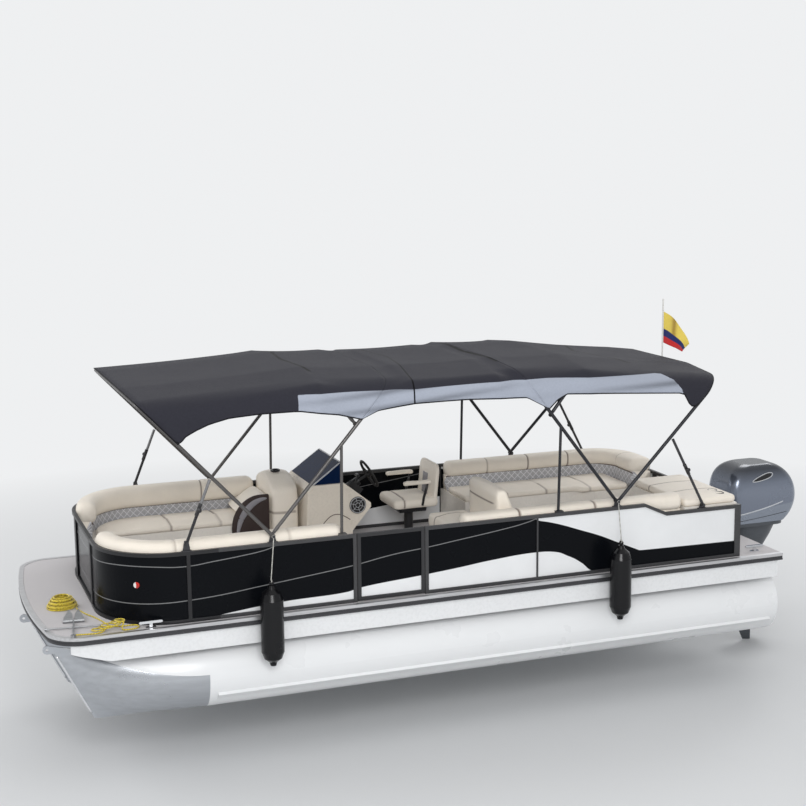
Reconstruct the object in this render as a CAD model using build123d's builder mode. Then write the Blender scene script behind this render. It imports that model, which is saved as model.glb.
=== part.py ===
from build123d import *
import math
import os

os.makedirs("parts", exist_ok=True)

# Triple-tube pontoon boat. Millimetres. +X forward, +Y port, +Z up.
# Origin on the waterline, on the centreline, amidships.

# Deck and rub rail
HALF_BEAM = 1295.0
DECK_AFT = -3394.0
DECK_FRONT = 3725.0
DECK_TOP = 580.0
DECK_THICK = 20.0
FRONT_RADIUS = 6500.0
CORNER_RADIUS = 300.0
RAIL_THICK = 15.0
RAIL_BOTTOM = 515.0
RAIL_TOP = 584.0
NOTCH_WIDE = 1010.0
NOTCH_DEEP = 160.0

# Tubes
TUBE_RADIUS = 317.5
TUBE_Z = 55.0
TUBE_SPREAD = HALF_BEAM - 345.0
TUBE_AFT = -3370.0
NOSE_START = 2320.0
NOSE_LENGTH = 1090.0
NOSE_RAKE = 26.0
CENTRE_AHEAD = 90.0
EYE_HOLE_RADIUS = 12.5
EYE_RADIUS = 38.0
EYE_THICK = 14.0
RISER_WIDE = 130.0
RISER_WALL = 6.0

# Cross-members
MEMBER_HIGH = 100.0
MEMBER_FLANGE = 42.0
MEMBER_WALL = 5.0
MEMBER_PITCH = 406.0
MEMBER_AFT = DECK_AFT + NOTCH_DEEP + MEMBER_FLANGE / 2
MEMBER_COUNT = 17
SKIRT_THICK = 4.0
SKIRT_INSET = 26.0
SKIRT_BOTTOM = 345.0

# Fence
FENCE_SETBACK = 75.0
FENCE_HALF = HALF_BEAM - FENCE_SETBACK
FENCE_HIGH = 620.0
FENCE_CORNER = FENCE_HALF - 576.0
FENCE_CORNER_X = 2530.0
FENCE_AFT = -2950.0
FRAME_DEEP = 30.0
FRAME_HIGH = 32.0
PANEL_THICK = 5.0
POST_WIDE = 32.0
BOW_GATE_HALF = 450.0
SIDE_GATE_FRONT = 968.0
SIDE_GATE_AFT = 325.0
SIDE_SPLIT = 647.0
STERN_GATE_LOW = -400.0
STERN_GATE_HIGH = 150.0
STEP_FRONT = -1900.0
STEP_AFT = -2130.0
STEP_DROP = 105.0
GATE_GAP = 6.0
HINGE_RADIUS = 8.0
HINGE_OFF = 13.0
BARREL_HIGH = 60.0
GATE_PIN = 4.0
PIN_PLAY = 0.3

# Seats
SEAT_TOP = 1035.0
CUSHION_THICK = 100.0
SEAT_INNER = 500.0
SEAT_CLEAR = 34.0
BACK_TOP = 1262.0
QUILT_TOP = 1150.0
QUILT_DEEP = 130.0
ROLL_DEEP = 178.0
ROLL_INSET = 64.0
SOFT_GAP = 2.0
BOW_LOUNGE_AFT = 1065.0
TOWER_AFT = 1000.0
TOWER_FRONT = 1300.0
TOWER_TOP = 1385.0
CHAISE_FRONT = -60.0
CHAISE_AFT = -455.0
CHAISE_INNER = 270.0
CHAISE_TOP = 1095.0
STERN_UNIT_FRONT = -2340.0
STERN_TOP = 1200.0
LOCKER_GAP = 16.0
STARBOARD_AFT_FRONT = -780.0

# Sun tops
BOW_TUBE = 32.0
STRUT_TUBE = 26.0
HOOP_CORNER = 210.0
CROWN_RISE = 70.0
CANOPY_THICK = 5.0
CLOTH_GAP = 0.3
HOOP_STEP = 44.0
OUTER_HOOP = FENCE_HALF
INNER_HOOP = OUTER_HOOP - HOOP_STEP
MIDDLE_HOOP = INNER_HOOP - HOOP_STEP

# Outboard
TILT_X = -3470.0
TILT_Z = 460.0
TRANSOM_X = -3500.0
TRANSOM_TOP = 400.0
LEG_X = TRANSOM_X - 260.0
PROP_Z = -500.0
PROP_RADIUS = 185.0
PROP_X = LEG_X - 250.0


def export(part, label):
    """Name a finished piece and write it."""
    part.label = label
    export_step(part, f"parts/{label}.step")


FENCE_TOP = DECK_TOP + FENCE_HIGH


# Deck plan, its edge moved in by inset: two sides, two corner arcs and the bowed front
def plan_lines(inset, stern):
    half = HALF_BEAM - inset
    corner_y = HALF_BEAM - CORNER_RADIUS
    front_centre = DECK_FRONT - FRONT_RADIUS
    reach = FRONT_RADIUS - CORNER_RADIUS
    corner_x = front_centre + math.sqrt(reach ** 2 - corner_y ** 2)
    turn = math.degrees(math.asin(corner_y / reach))
    Line((stern, -half), (corner_x, -half))
    CenterArc((corner_x, -corner_y), CORNER_RADIUS - inset, -90, 90 - turn)
    CenterArc((front_centre, 0), FRONT_RADIUS - inset, -turn, 2 * turn)
    CenterArc((corner_x, corner_y), CORNER_RADIUS - inset, turn, 90 - turn)
    Line((corner_x, half), (stern, half))
    Line((stern, half), (stern, -half))


# Tubes: (name, y, how far ahead of the outer pair)
TUBES = [
    ("tube_port", TUBE_SPREAD, 0.0),
    ("tube_centre", 0.0, CENTRE_AHEAD),
    ("tube_starboard", -TUBE_SPREAD, 0.0),
]
# Nose sections: (share of the nose length, share of the rake, half width)
NOSE_SECTIONS = [
    (0.0, 0.0, TUBE_RADIUS),
    (0.52, 0.42, 236.0),
    (1.0, 1.0, 9.0),
]
MEMBER_BOTTOM = DECK_TOP - DECK_THICK - MEMBER_HIGH
STRAKE_ANGLES = (-22.0, -44.0)
STRAKE_OUT = 26.0
KEEL_WIDE = 24.0
KEEL_DEEP = 14.0
for label, tube_y, ahead in TUBES:
    nose_x = NOSE_START + ahead
    with BuildPart() as tube:
        with BuildSketch(Plane.YZ.offset(TUBE_AFT)):
            with Locations((tube_y, TUBE_Z)):
                Circle(TUBE_RADIUS)
        extrude(amount=nose_x - TUBE_AFT)
        for along, rake, half_width in NOSE_SECTIONS:
            tilt = math.radians(NOSE_RAKE * rake)
            section = Plane(
                origin=(nose_x + along * NOSE_LENGTH, tube_y, TUBE_Z),
                x_dir=(0, 1, 0),
                z_dir=(math.cos(tilt), 0, -math.sin(tilt)),
            )
            half_high = TUBE_RADIUS / math.cos(tilt) if rake < 1 else TUBE_RADIUS * 0.98 / math.cos(tilt)
            with BuildSketch(section):
                with BuildLine():
                    ThreePointArc((0, half_high), (half_width, 0), (0, -half_high))
                    ThreePointArc((0, -half_high), (-half_width, 0), (0, half_high))
                make_face()
        loft()
        # stem bar with the tow eye at its head
        tip_x = nose_x + NOSE_LENGTH
        lean = math.tan(math.radians(NOSE_RAKE))
        eye_x = tip_x + 222.0
        eye_z = TUBE_Z + TUBE_RADIUS + 30.0
        with BuildSketch(Plane.XZ.offset(-tube_y - EYE_THICK / 2)):
            with BuildLine():
                Polyline(
                    (tip_x - lean * 296 - 10, TUBE_Z - 296),
                    (tip_x - lean * 300 + 8, TUBE_Z - 300),
                    (tip_x + lean * 310 + 12, TUBE_Z + 310),
                    (eye_x + 4, eye_z - EYE_RADIUS + 1),
                    (eye_x - 10, eye_z + EYE_RADIUS - 4),
                    (tip_x - 120, TUBE_Z + 300),
                    close=True,
                )
            make_face()
            with Locations((eye_x, eye_z)):
                Circle(EYE_RADIUS)
                Circle(EYE_HOLE_RADIUS, mode=Mode.SUBTRACT)
        extrude(amount=EYE_THICK)
        # riser channel that carries the cross-members
        riser_foot = TUBE_Z + math.sqrt(TUBE_RADIUS ** 2 - (RISER_WIDE / 2) ** 2) - 6.0
        with BuildSketch(Plane.YZ.offset(TUBE_AFT + 60)):
            with Locations((tube_y, (riser_foot + MEMBER_BOTTOM) / 2)):
                Rectangle(RISER_WIDE, MEMBER_BOTTOM - riser_foot)
            with Locations((tube_y, (riser_foot + MEMBER_BOTTOM - RISER_WALL) / 2)):
                Rectangle(
                    RISER_WIDE - 2 * RISER_WALL,
                    MEMBER_BOTTOM - RISER_WALL - riser_foot,
                    mode=Mode.SUBTRACT,
                )
        extrude(amount=NOSE_START + 800 - TUBE_AFT)
        # lifting strakes, one each side
        with BuildSketch(Plane.YZ.offset(TUBE_AFT + 80)):
            for way in (1, -1):
                inner = TUBE_RADIUS - 4
                upper, lower = (math.radians(angle) for angle in STRAKE_ANGLES)
                with BuildLine():
                    Polyline(
                        (tube_y + way * inner * math.cos(upper), TUBE_Z + inner * math.sin(upper)),
                        (
                            tube_y + way * (inner + STRAKE_OUT) * math.cos(upper),
                            TUBE_Z + inner * math.sin(upper) - 22,
                        ),
                        (tube_y + way * inner * math.cos(lower), TUBE_Z + inner * math.sin(lower)),
                        close=True,
                    )
                make_face()
        extrude(amount=NOSE_START - 150 - TUBE_AFT)
        # keel bar
        with BuildSketch(Plane.YZ.offset(TUBE_AFT + 80)):
            with Locations((tube_y, TUBE_Z - TUBE_RADIUS)):
                Rectangle(KEEL_WIDE, KEEL_DEEP)
        extrude(amount=NOSE_START - TUBE_AFT - 80)
    export(tube.part, label)

# Cross-members: C-channels from side to side, and a shorter one under the bow
member_half = HALF_BEAM - SKIRT_INSET - SKIRT_THICK
BOW_MEMBER_HALF = 1010.0
BOW_MEMBER_X = 3480.0
member_places = [(MEMBER_AFT + MEMBER_PITCH * step, member_half) for step in range(MEMBER_COUNT)]
member_places.append((BOW_MEMBER_X, BOW_MEMBER_HALF))
with BuildPart() as cross_members:
    for member_x, half_length in member_places:
        with BuildSketch(Plane.XZ.offset(-half_length)):
            with Locations((member_x, MEMBER_BOTTOM + MEMBER_HIGH / 2)):
                Rectangle(MEMBER_FLANGE, MEMBER_HIGH)
            with Locations((member_x + MEMBER_WALL, MEMBER_BOTTOM + MEMBER_HIGH / 2)):
                Rectangle(MEMBER_FLANGE, MEMBER_HIGH - 2 * MEMBER_WALL, mode=Mode.SUBTRACT)
        extrude(amount=2 * half_length)
export(cross_members.part, "cross_members")

# Deck plate with the notch that the outboard tilts into
with BuildPart() as deck:
    with BuildSketch(Plane.XY.offset(DECK_TOP - DECK_THICK)):
        with BuildLine():
            plan_lines(RAIL_THICK, DECK_AFT)
        make_face()
        with Locations((DECK_AFT, 0)):
            Rectangle(2 * NOTCH_DEEP, NOTCH_WIDE, mode=Mode.SUBTRACT)
    extrude(amount=DECK_THICK)
export(deck.part, "deck")

# Rub rail tiers: (bottom, top, how far in the tier's outside lies)
RAIL_TIERS = [
    (RAIL_BOTTOM, RAIL_BOTTOM + 18, 0.0),
    (RAIL_BOTTOM + 18, RAIL_BOTTOM + 40, 6.0),
    (RAIL_BOTTOM + 40, RAIL_TOP, 0.0),
]
RAIL_LIP = 42.0
with BuildPart() as rub_rail:
    for low, high, inset in RAIL_TIERS:
        with BuildSketch(Plane.XY.offset(low)):
            with BuildLine():
                plan_lines(inset, DECK_AFT)
            make_face()
            with BuildLine():
                plan_lines(RAIL_THICK, DECK_AFT)
            make_face(mode=Mode.SUBTRACT)
        extrude(amount=high - low)
    with BuildSketch(Plane.XY.offset(DECK_TOP)):
        with BuildLine():
            plan_lines(0, DECK_AFT)
        make_face()
        with BuildLine():
            plan_lines(RAIL_LIP, DECK_AFT)
        make_face(mode=Mode.SUBTRACT)
    extrude(amount=RAIL_TOP - DECK_TOP)
export(rub_rail.part, "rub_rail")

# Side skirts hang from the ends of the cross-members
SKIRT_AFT = DECK_AFT + 40
SKIRT_FRONT = 3470.0
with BuildPart() as side_skirts:
    with BuildSketch(Plane.XY.offset(SKIRT_BOTTOM)):
        with BuildLine():
            plan_lines(SKIRT_INSET, SKIRT_AFT)
        make_face()
        with BuildLine():
            plan_lines(SKIRT_INSET + SKIRT_THICK, SKIRT_AFT)
        make_face(mode=Mode.SUBTRACT)
        with Locations((SKIRT_FRONT + 500, 0)):
            Rectangle(1000, 2 * HALF_BEAM, mode=Mode.SUBTRACT)
    extrude(amount=DECK_TOP - DECK_THICK - SKIRT_BOTTOM)
    # the lower front corner rises to the nose
    with BuildSketch(Plane.XZ.offset(-HALF_BEAM)):
        with BuildLine():
            Polyline(
                (SKIRT_FRONT - 320, SKIRT_BOTTOM),
                (SKIRT_FRONT, SKIRT_BOTTOM + 90),
                (SKIRT_FRONT, SKIRT_BOTTOM),
                close=True,
            )
        make_face()
    extrude(amount=2 * HALF_BEAM, mode=Mode.SUBTRACT)
export(side_skirts.part, "side_skirts")

# Motor pod: a box behind the centre tube with its transom and two gussets to the last cross-member
POD_HALF = 250.0
POD_BOTTOM = -165.0
GUSSET_THICK = 10.0
with BuildPart() as motor_pod:
    with BuildSketch(Plane.XZ.offset(-POD_HALF)):
        with BuildLine():
            Polyline(
                (TUBE_AFT, TRANSOM_TOP - 20),
                (TRANSOM_X, TRANSOM_TOP),
                (TRANSOM_X, POD_BOTTOM),
                (TUBE_AFT, POD_BOTTOM - 70),
                close=True,
            )
        make_face()
    extrude(amount=2 * POD_HALF)
    for way in (1, -1):
        gusset_y = way * (POD_HALF - GUSSET_THICK / 2)
        with BuildSketch(Plane.XZ.offset(-gusset_y - GUSSET_THICK / 2)):
            with BuildLine():
                Polyline(
                    (TUBE_AFT - 6, 278),
                    (TUBE_AFT + 250, MEMBER_BOTTOM),
                    (TUBE_AFT + 14, MEMBER_BOTTOM),
                    (TUBE_AFT - 6, TRANSOM_TOP - 40),
                    close=True,
                )
            make_face()
        extrude(amount=GUSSET_THICK)
export(motor_pod.part, "motor_pod")


# Plan of what lies inside the fence line: straight side, corner arc, front, cut off at inner_y
def fence_lines(inset, aft_x, inner_y):
    radius = FENCE_CORNER - inset
    centre_y = FENCE_HALF - FENCE_CORNER
    front_x = FENCE_CORNER_X + radius
    Line((aft_x, FENCE_HALF - inset), (FENCE_CORNER_X, FENCE_HALF - inset))
    CenterArc((FENCE_CORNER_X, centre_y), radius, 90, -90)
    Line((front_x, centre_y), (front_x, inner_y))
    Line((front_x, inner_y), (aft_x, inner_y))
    Line((aft_x, inner_y), (aft_x, FENCE_HALF - inset))


# Band between two insets, as a sketch at height low, extruded to high
def fence_band(outer, inner, aft_x, inner_y, low, high):
    with BuildSketch(Plane.XY.offset(low)) as band:
        with BuildLine():
            fence_lines(outer, aft_x, inner_y)
        make_face()
        with BuildLine():
            fence_lines(inner, aft_x - 10, inner_y - 10)
        make_face(mode=Mode.SUBTRACT)
    extrude(band.sketch, amount=high - low)


# Stepped side view of the rear fence, its outline moved in by the frame's widths
def rear_side_lines(front_x, aft_x, low_z, drop):
    Polyline(
        (front_x, low_z),
        (front_x, FENCE_TOP - drop),
        (STEP_FRONT, FENCE_TOP - drop),
        (STEP_AFT, FENCE_TOP - STEP_DROP - drop),
        (aft_x, FENCE_TOP - STEP_DROP - drop),
        (aft_x, low_z),
        close=True,
    )


# Fence sides: (side word, side, front section's aft end, rear section's front end, stern gate's edge)
FENCE_SIDES = [
    ("port", 1, SIDE_GATE_FRONT, SIDE_GATE_AFT, STERN_GATE_HIGH),
    ("starboard", -1, SIDE_SPLIT, SIDE_SPLIT - 2, -STERN_GATE_LOW),
]
RAIL_LOW = DECK_TOP + FRAME_HIGH
RAIL_HIGH = FENCE_TOP - FRAME_HIGH
PANEL_INSET = (FRAME_DEEP - PANEL_THICK) / 2
DIVIDER_X = -781.0
SEAM_X = 2460.0
STERN_POST_WIDE = 62.0
STERN_TOP_RAIL = FENCE_TOP - STEP_DROP
for word, side, front_aft_x, rear_front_x, stern_y in FENCE_SIDES:
    end_post = front_aft_x + POST_WIDE / 2 + 1
    stern_mid = (FENCE_HALF - FRAME_DEEP + stern_y) / 2
    stern_wide = FENCE_HALF - FRAME_DEEP - stern_y
    stern_high = STERN_TOP_RAIL - DECK_TOP
    with BuildPart() as frame:
        for low, high in ((DECK_TOP, RAIL_LOW), (RAIL_HIGH, FENCE_TOP)):
            fence_band(0, FRAME_DEEP, front_aft_x, BOW_GATE_HALF + POST_WIDE, low, high)
        with BuildSketch(Plane.XY.offset(DECK_TOP)):
            with Locations(
                (end_post, FENCE_HALF - FRAME_DEEP / 2),
                (SEAM_X, FENCE_HALF - FRAME_DEEP / 2),
            ):
                Rectangle(POST_WIDE, FRAME_DEEP)
            with Locations((FENCE_CORNER_X + FENCE_CORNER - FRAME_DEEP / 2, BOW_GATE_HALF + POST_WIDE / 2)):
                Rectangle(FRAME_DEEP, POST_WIDE)
        extrude(amount=FENCE_HIGH)
        with BuildSketch(Plane.XZ.offset(-FENCE_HALF)):
            with BuildLine():
                rear_side_lines(rear_front_x, FENCE_AFT, DECK_TOP, 0)
            make_face()
            with BuildLine():
                rear_side_lines(rear_front_x - POST_WIDE, FENCE_AFT + STERN_POST_WIDE, RAIL_LOW, FRAME_HIGH)
            make_face(mode=Mode.SUBTRACT)
            with Locations((DIVIDER_X, (DECK_TOP + FENCE_TOP) / 2)):
                Rectangle(FRAME_DEEP / 2, FENCE_HIGH)
        extrude(amount=FRAME_DEEP)
        with BuildSketch(Plane.YZ.offset(FENCE_AFT)):
            with Locations((stern_mid, (DECK_TOP + STERN_TOP_RAIL) / 2)):
                Rectangle(stern_wide, stern_high)
                Rectangle(stern_wide - 2 * POST_WIDE, stern_high - 2 * FRAME_HIGH, mode=Mode.SUBTRACT)
        extrude(amount=FRAME_DEEP)
        if side < 0:
            mirror(about=Plane.XZ, mode=Mode.REPLACE)
    export(frame.part, f"fence_{word}")
    with BuildPart() as panel:
        fence_band(
            PANEL_INSET, PANEL_INSET + PANEL_THICK, end_post + POST_WIDE / 2,
            BOW_GATE_HALF + POST_WIDE, RAIL_LOW, RAIL_HIGH,
        )
        with BuildSketch(Plane.XY.offset(RAIL_LOW)):
            with Locations((SEAM_X, FENCE_HALF - FRAME_DEEP / 2)):
                Rectangle(POST_WIDE, FRAME_DEEP)
        extrude(amount=RAIL_HIGH - RAIL_LOW, mode=Mode.SUBTRACT)
        with BuildSketch(Plane.XZ.offset(-FENCE_HALF + PANEL_INSET)):
            with BuildLine():
                rear_side_lines(rear_front_x - POST_WIDE, FENCE_AFT + STERN_POST_WIDE, RAIL_LOW, FRAME_HIGH)
            make_face()
            with Locations((DIVIDER_X, (DECK_TOP + FENCE_TOP) / 2)):
                Rectangle(FRAME_DEEP / 2, FENCE_HIGH, mode=Mode.SUBTRACT)
        extrude(amount=PANEL_THICK)
        with BuildSketch(Plane.YZ.offset(FENCE_AFT + PANEL_INSET)):
            with Locations((stern_mid, (DECK_TOP + STERN_TOP_RAIL) / 2)):
                Rectangle(stern_wide - 2 * POST_WIDE, stern_high - 2 * FRAME_HIGH)
        extrude(amount=PANEL_THICK)
        if side < 0:
            mirror(about=Plane.XZ, mode=Mode.REPLACE)
    export(panel.part, f"panels_{word}")


# A framed gate standing in a plane, with two hinge barrels strapped to its face
def gate_leaf(plane, left, right, bottom, top, hinge, facing):
    middle = ((left + right) / 2, (bottom + top) / 2)
    with BuildSketch(plane) as frame_plan:
        with Locations(middle):
            Rectangle(right - left, top - bottom)
            Rectangle(right - left - 2 * POST_WIDE, top - bottom - 2 * FRAME_HIGH, mode=Mode.SUBTRACT)
    extrude(frame_plan.sketch, amount=FRAME_DEEP)
    with BuildSketch(plane.offset(PANEL_INSET)) as panel_plan:
        with Locations(middle):
            Rectangle(right - left - 2 * POST_WIDE, top - bottom - 2 * FRAME_HIGH)
    extrude(panel_plan.sketch, amount=PANEL_THICK)
    for barrel_z in (bottom + 60, top - 120):
        with BuildSketch(Plane.XY.offset(barrel_z)) as barrel:
            with Locations(hinge):
                Circle(HINGE_RADIUS)
            with Locations((hinge[0] + facing[0] * HINGE_OFF / 2, hinge[1] + facing[1] * HINGE_OFF / 2)):
                Rectangle(HINGE_OFF if facing[0] else 10, HINGE_OFF if facing[1] else 10)
            with Locations(hinge):
                Circle(GATE_PIN + PIN_PLAY, mode=Mode.SUBTRACT)
        extrude(barrel.sketch, amount=BARREL_HIGH)


GATE_BOTTOM = DECK_TOP + 12
bow_gate_face = FENCE_CORNER_X + FENCE_CORNER
BOW_GATE_HINGE = (bow_gate_face - FRAME_DEEP - HINGE_OFF, BOW_GATE_HALF - GATE_GAP - 4)
SIDE_GATE_HINGE = (SIDE_GATE_FRONT - GATE_GAP - 4, FENCE_HALF - FRAME_DEEP - HINGE_OFF)
STERN_GATE_HINGE = (FENCE_AFT + FRAME_DEEP + HINGE_OFF, STERN_GATE_HIGH - GATE_GAP - 4)
with BuildPart() as bow_gate:
    gate_leaf(
        Plane.YZ.offset(bow_gate_face - FRAME_DEEP),
        -BOW_GATE_HALF + GATE_GAP, BOW_GATE_HALF - GATE_GAP, GATE_BOTTOM, FENCE_TOP, BOW_GATE_HINGE, (1, 0),
    )
export(bow_gate.part, "bow_gate")
with BuildPart() as side_gate:
    gate_leaf(
        Plane.XZ.offset(-FENCE_HALF),
        SIDE_GATE_AFT + GATE_GAP, SIDE_GATE_FRONT - GATE_GAP, GATE_BOTTOM, FENCE_TOP, SIDE_GATE_HINGE, (0, 1),
    )
export(side_gate.part, "side_gate")
with BuildPart() as stern_gate:
    gate_leaf(
        Plane.YZ.offset(FENCE_AFT),
        STERN_GATE_LOW + GATE_GAP, STERN_GATE_HIGH - GATE_GAP, GATE_BOTTOM, STERN_TOP_RAIL,
        STERN_GATE_HINGE, (-1, 0),
    )
export(stern_gate.part, "stern_gate")

# Gate hinge pins, held by a knuckle above and below each barrel:
# (hinge, way to the fence's inner face, way to the post, gate top)
GATE_HINGES = [
    (BOW_GATE_HINGE, (1, 0), (0, 1), FENCE_TOP),
    (SIDE_GATE_HINGE, (0, 1), (1, 0), FENCE_TOP),
    (STERN_GATE_HINGE, (-1, 0), (0, 1), STERN_TOP_RAIL),
]
KNUCKLE_HIGH = 16.0
KNUCKLE_GAP = 2.0
KNUCKLE_LONG = 22.0
with BuildPart() as gate_hinges:
    for (hinge_x, hinge_y), facing, aside, gate_top in GATE_HINGES:
        lateral = bool(aside[1])
        arm = (hinge_x + aside[0] * KNUCKLE_LONG / 2, hinge_y + aside[1] * KNUCKLE_LONG / 2)
        foot = (
            hinge_x + facing[0] * (HINGE_OFF - 4) + aside[0] * (KNUCKLE_LONG - 5),
            hinge_y + facing[1] * (HINGE_OFF - 4) + aside[1] * (KNUCKLE_LONG - 5),
        )
        for barrel_z in (GATE_BOTTOM + 60, gate_top - 120):
            lower_z = barrel_z - KNUCKLE_HIGH - KNUCKLE_GAP
            with BuildSketch(Plane.XY.offset(lower_z)):
                with Locations((hinge_x, hinge_y)):
                    Circle(GATE_PIN)
            extrude(amount=BARREL_HIGH + 2 * (KNUCKLE_HIGH + KNUCKLE_GAP))
            for knuckle_z in (lower_z, barrel_z + BARREL_HIGH + KNUCKLE_GAP):
                with BuildSketch(Plane.XY.offset(knuckle_z)):
                    with Locations((hinge_x, hinge_y)):
                        Circle(HINGE_RADIUS)
                    with Locations(arm):
                        Rectangle(12 if lateral else KNUCKLE_LONG, KNUCKLE_LONG if lateral else 12)
                    with Locations(foot):
                        Rectangle(8 if lateral else 10, 10 if lateral else 8)
                extrude(amount=KNUCKLE_HIGH)
export(gate_hinges.part, "gate_hinges")

# Seats. Bow lounge runs from the bow gate round the corner; aft benches run to the stern
BASE_TOP = SEAT_TOP - CUSHION_THICK
KICK_DEEP = 60.0
KICK_HIGH = 90.0
AFT_OUTER = FENCE_HALF - SEAT_CLEAR
AFT_BACK_TOP = 1240.0
BACK_INNER = FENCE_HALF - SEAT_CLEAR - ROLL_DEEP - SOFT_GAP
STERN_INSIDE = FENCE_AFT + FRAME_DEEP + SOFT_GAP
STERN_BACK_X = -2620.0
CHAISE_BACK_X = CHAISE_AFT - 330.0
STERN_SEAT_INNER = -STERN_GATE_LOW + 4
# Aft bench outlines for one side, drawn on port: base, then cushion
PORT_BASE = [
    (CHAISE_FRONT, AFT_OUTER),
    (CHAISE_FRONT, CHAISE_INNER),
    (CHAISE_BACK_X, CHAISE_INNER),
    (CHAISE_BACK_X, SEAT_INNER),
    (STERN_UNIT_FRONT, SEAT_INNER),
    (STERN_UNIT_FRONT, AFT_OUTER),
]
STARBOARD_BASE = [
    (STARBOARD_AFT_FRONT, AFT_OUTER),
    (STARBOARD_AFT_FRONT, SEAT_INNER),
    (STERN_BACK_X + 500, SEAT_INNER),
    (STERN_BACK_X + 400, STERN_SEAT_INNER),
    (STERN_INSIDE, STERN_SEAT_INNER),
    (STERN_INSIDE, AFT_OUTER),
]
PORT_CUSHION = [
    (CHAISE_BACK_X - SOFT_GAP, BACK_INNER),
    (CHAISE_BACK_X - SOFT_GAP, SEAT_INNER - 14),
    (STERN_UNIT_FRONT + SOFT_GAP, SEAT_INNER - 14),
    (STERN_UNIT_FRONT + SOFT_GAP, BACK_INNER),
]
STARBOARD_CUSHION = [
    (STARBOARD_AFT_FRONT - 4, BACK_INNER),
    (STARBOARD_AFT_FRONT - 4, SEAT_INNER - 14),
    (STERN_BACK_X + 500, SEAT_INNER - 14),
    (STERN_BACK_X + 390, STERN_SEAT_INNER + 4),
    (STERN_BACK_X + SOFT_GAP, STERN_SEAT_INNER + 4),
    (STERN_BACK_X + SOFT_GAP, BACK_INNER),
]
# (side word, side, bow lounge's aft end, aft base, aft cushion, aft backrest's front and aft ends)
SEAT_SIDES = [
    ("port", 1, BOW_LOUNGE_AFT, PORT_BASE, PORT_CUSHION, CHAISE_FRONT, STERN_UNIT_FRONT),
    (
        "starboard", -1, TOWER_FRONT + SOFT_GAP, STARBOARD_BASE, STARBOARD_CUSHION,
        STARBOARD_AFT_FRONT, STERN_BACK_X,
    ),
]
for word, side, bow_aft, base_points, cushion_points, back_front, back_aft in SEAT_SIDES:
    with BuildPart() as base:
        with BuildSketch(Plane.XY.offset(DECK_TOP)):
            with BuildLine():
                fence_lines(SEAT_CLEAR, bow_aft, SEAT_INNER)
            make_face()
        extrude(amount=BASE_TOP - DECK_TOP)
        with BuildSketch(Plane.XY.offset(DECK_TOP)):
            with BuildLine():
                Polyline(base_points, close=True)
            make_face()
        extrude(amount=BASE_TOP - DECK_TOP)
        with BuildSketch(Plane.XY.offset(DECK_TOP)):
            with Locations((2200, SEAT_INNER)):
                Rectangle(2600, 2 * KICK_DEEP)
            with Locations((STERN_UNIT_FRONT + 780, SEAT_INNER)):
                Rectangle(1300, 2 * KICK_DEEP)
        extrude(amount=KICK_HIGH, mode=Mode.SUBTRACT)
        if side < 0:
            mirror(about=Plane.XZ, mode=Mode.REPLACE)
    export(base.part, f"lounge_bases_{word}")
    with BuildPart() as cushions:
        with BuildSketch(Plane.XY.offset(BASE_TOP)):
            with BuildLine():
                fence_lines(SEAT_CLEAR + ROLL_DEEP + SOFT_GAP, bow_aft + 4, SEAT_INNER - 14)
            make_face()
            with BuildLine():
                Polyline(cushion_points, close=True)
            make_face()
        extrude(amount=CUSHION_THICK)
        fillet(cushions.faces().filter_by(Axis.Z).group_by(Axis.Z)[-1].edges(), 24)
        if side < 0:
            mirror(about=Plane.XZ, mode=Mode.REPLACE)
    export(cushions.part, f"cushions_{word}")
    with BuildPart() as backrests:
        fence_band(SEAT_CLEAR, SEAT_CLEAR + QUILT_DEEP, bow_aft, SEAT_INNER, BASE_TOP, QUILT_TOP)
        fence_band(ROLL_INSET, SEAT_CLEAR + ROLL_DEEP, bow_aft, SEAT_INNER, QUILT_TOP, BACK_TOP)
        fillet(backrests.faces().sort_by(Axis.Z)[-1].edges(), 38)
        tiers = [
            (SEAT_CLEAR, SEAT_CLEAR + QUILT_DEEP, BASE_TOP, QUILT_TOP),
            (ROLL_INSET, SEAT_CLEAR + ROLL_DEEP, QUILT_TOP, AFT_BACK_TOP),
        ]
        for outer, inner, low, high in tiers:
            with BuildSketch(Plane.XY.offset(low)):
                with Locations(((back_front + back_aft) / 2, FENCE_HALF - (outer + inner) / 2)):
                    Rectangle(back_front - back_aft, inner - outer)
                if side < 0:
                    with BuildLine():
                        Polyline(
                            (STERN_BACK_X, STERN_SEAT_INNER),
                            (STERN_INSIDE, STERN_SEAT_INNER),
                            (STERN_INSIDE, FENCE_HALF - outer),
                            (STERN_BACK_X, FENCE_HALF - outer),
                            close=True,
                        )
                    make_face()
            extrude(amount=high - low)
        fillet(backrests.faces().filter_by_position(Axis.Z, AFT_BACK_TOP - 1, AFT_BACK_TOP + 1).edges(), 34)
        if side < 0:
            mirror(about=Plane.XZ, mode=Mode.REPLACE)
    export(backrests.part, f"backrests_{word}")

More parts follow.
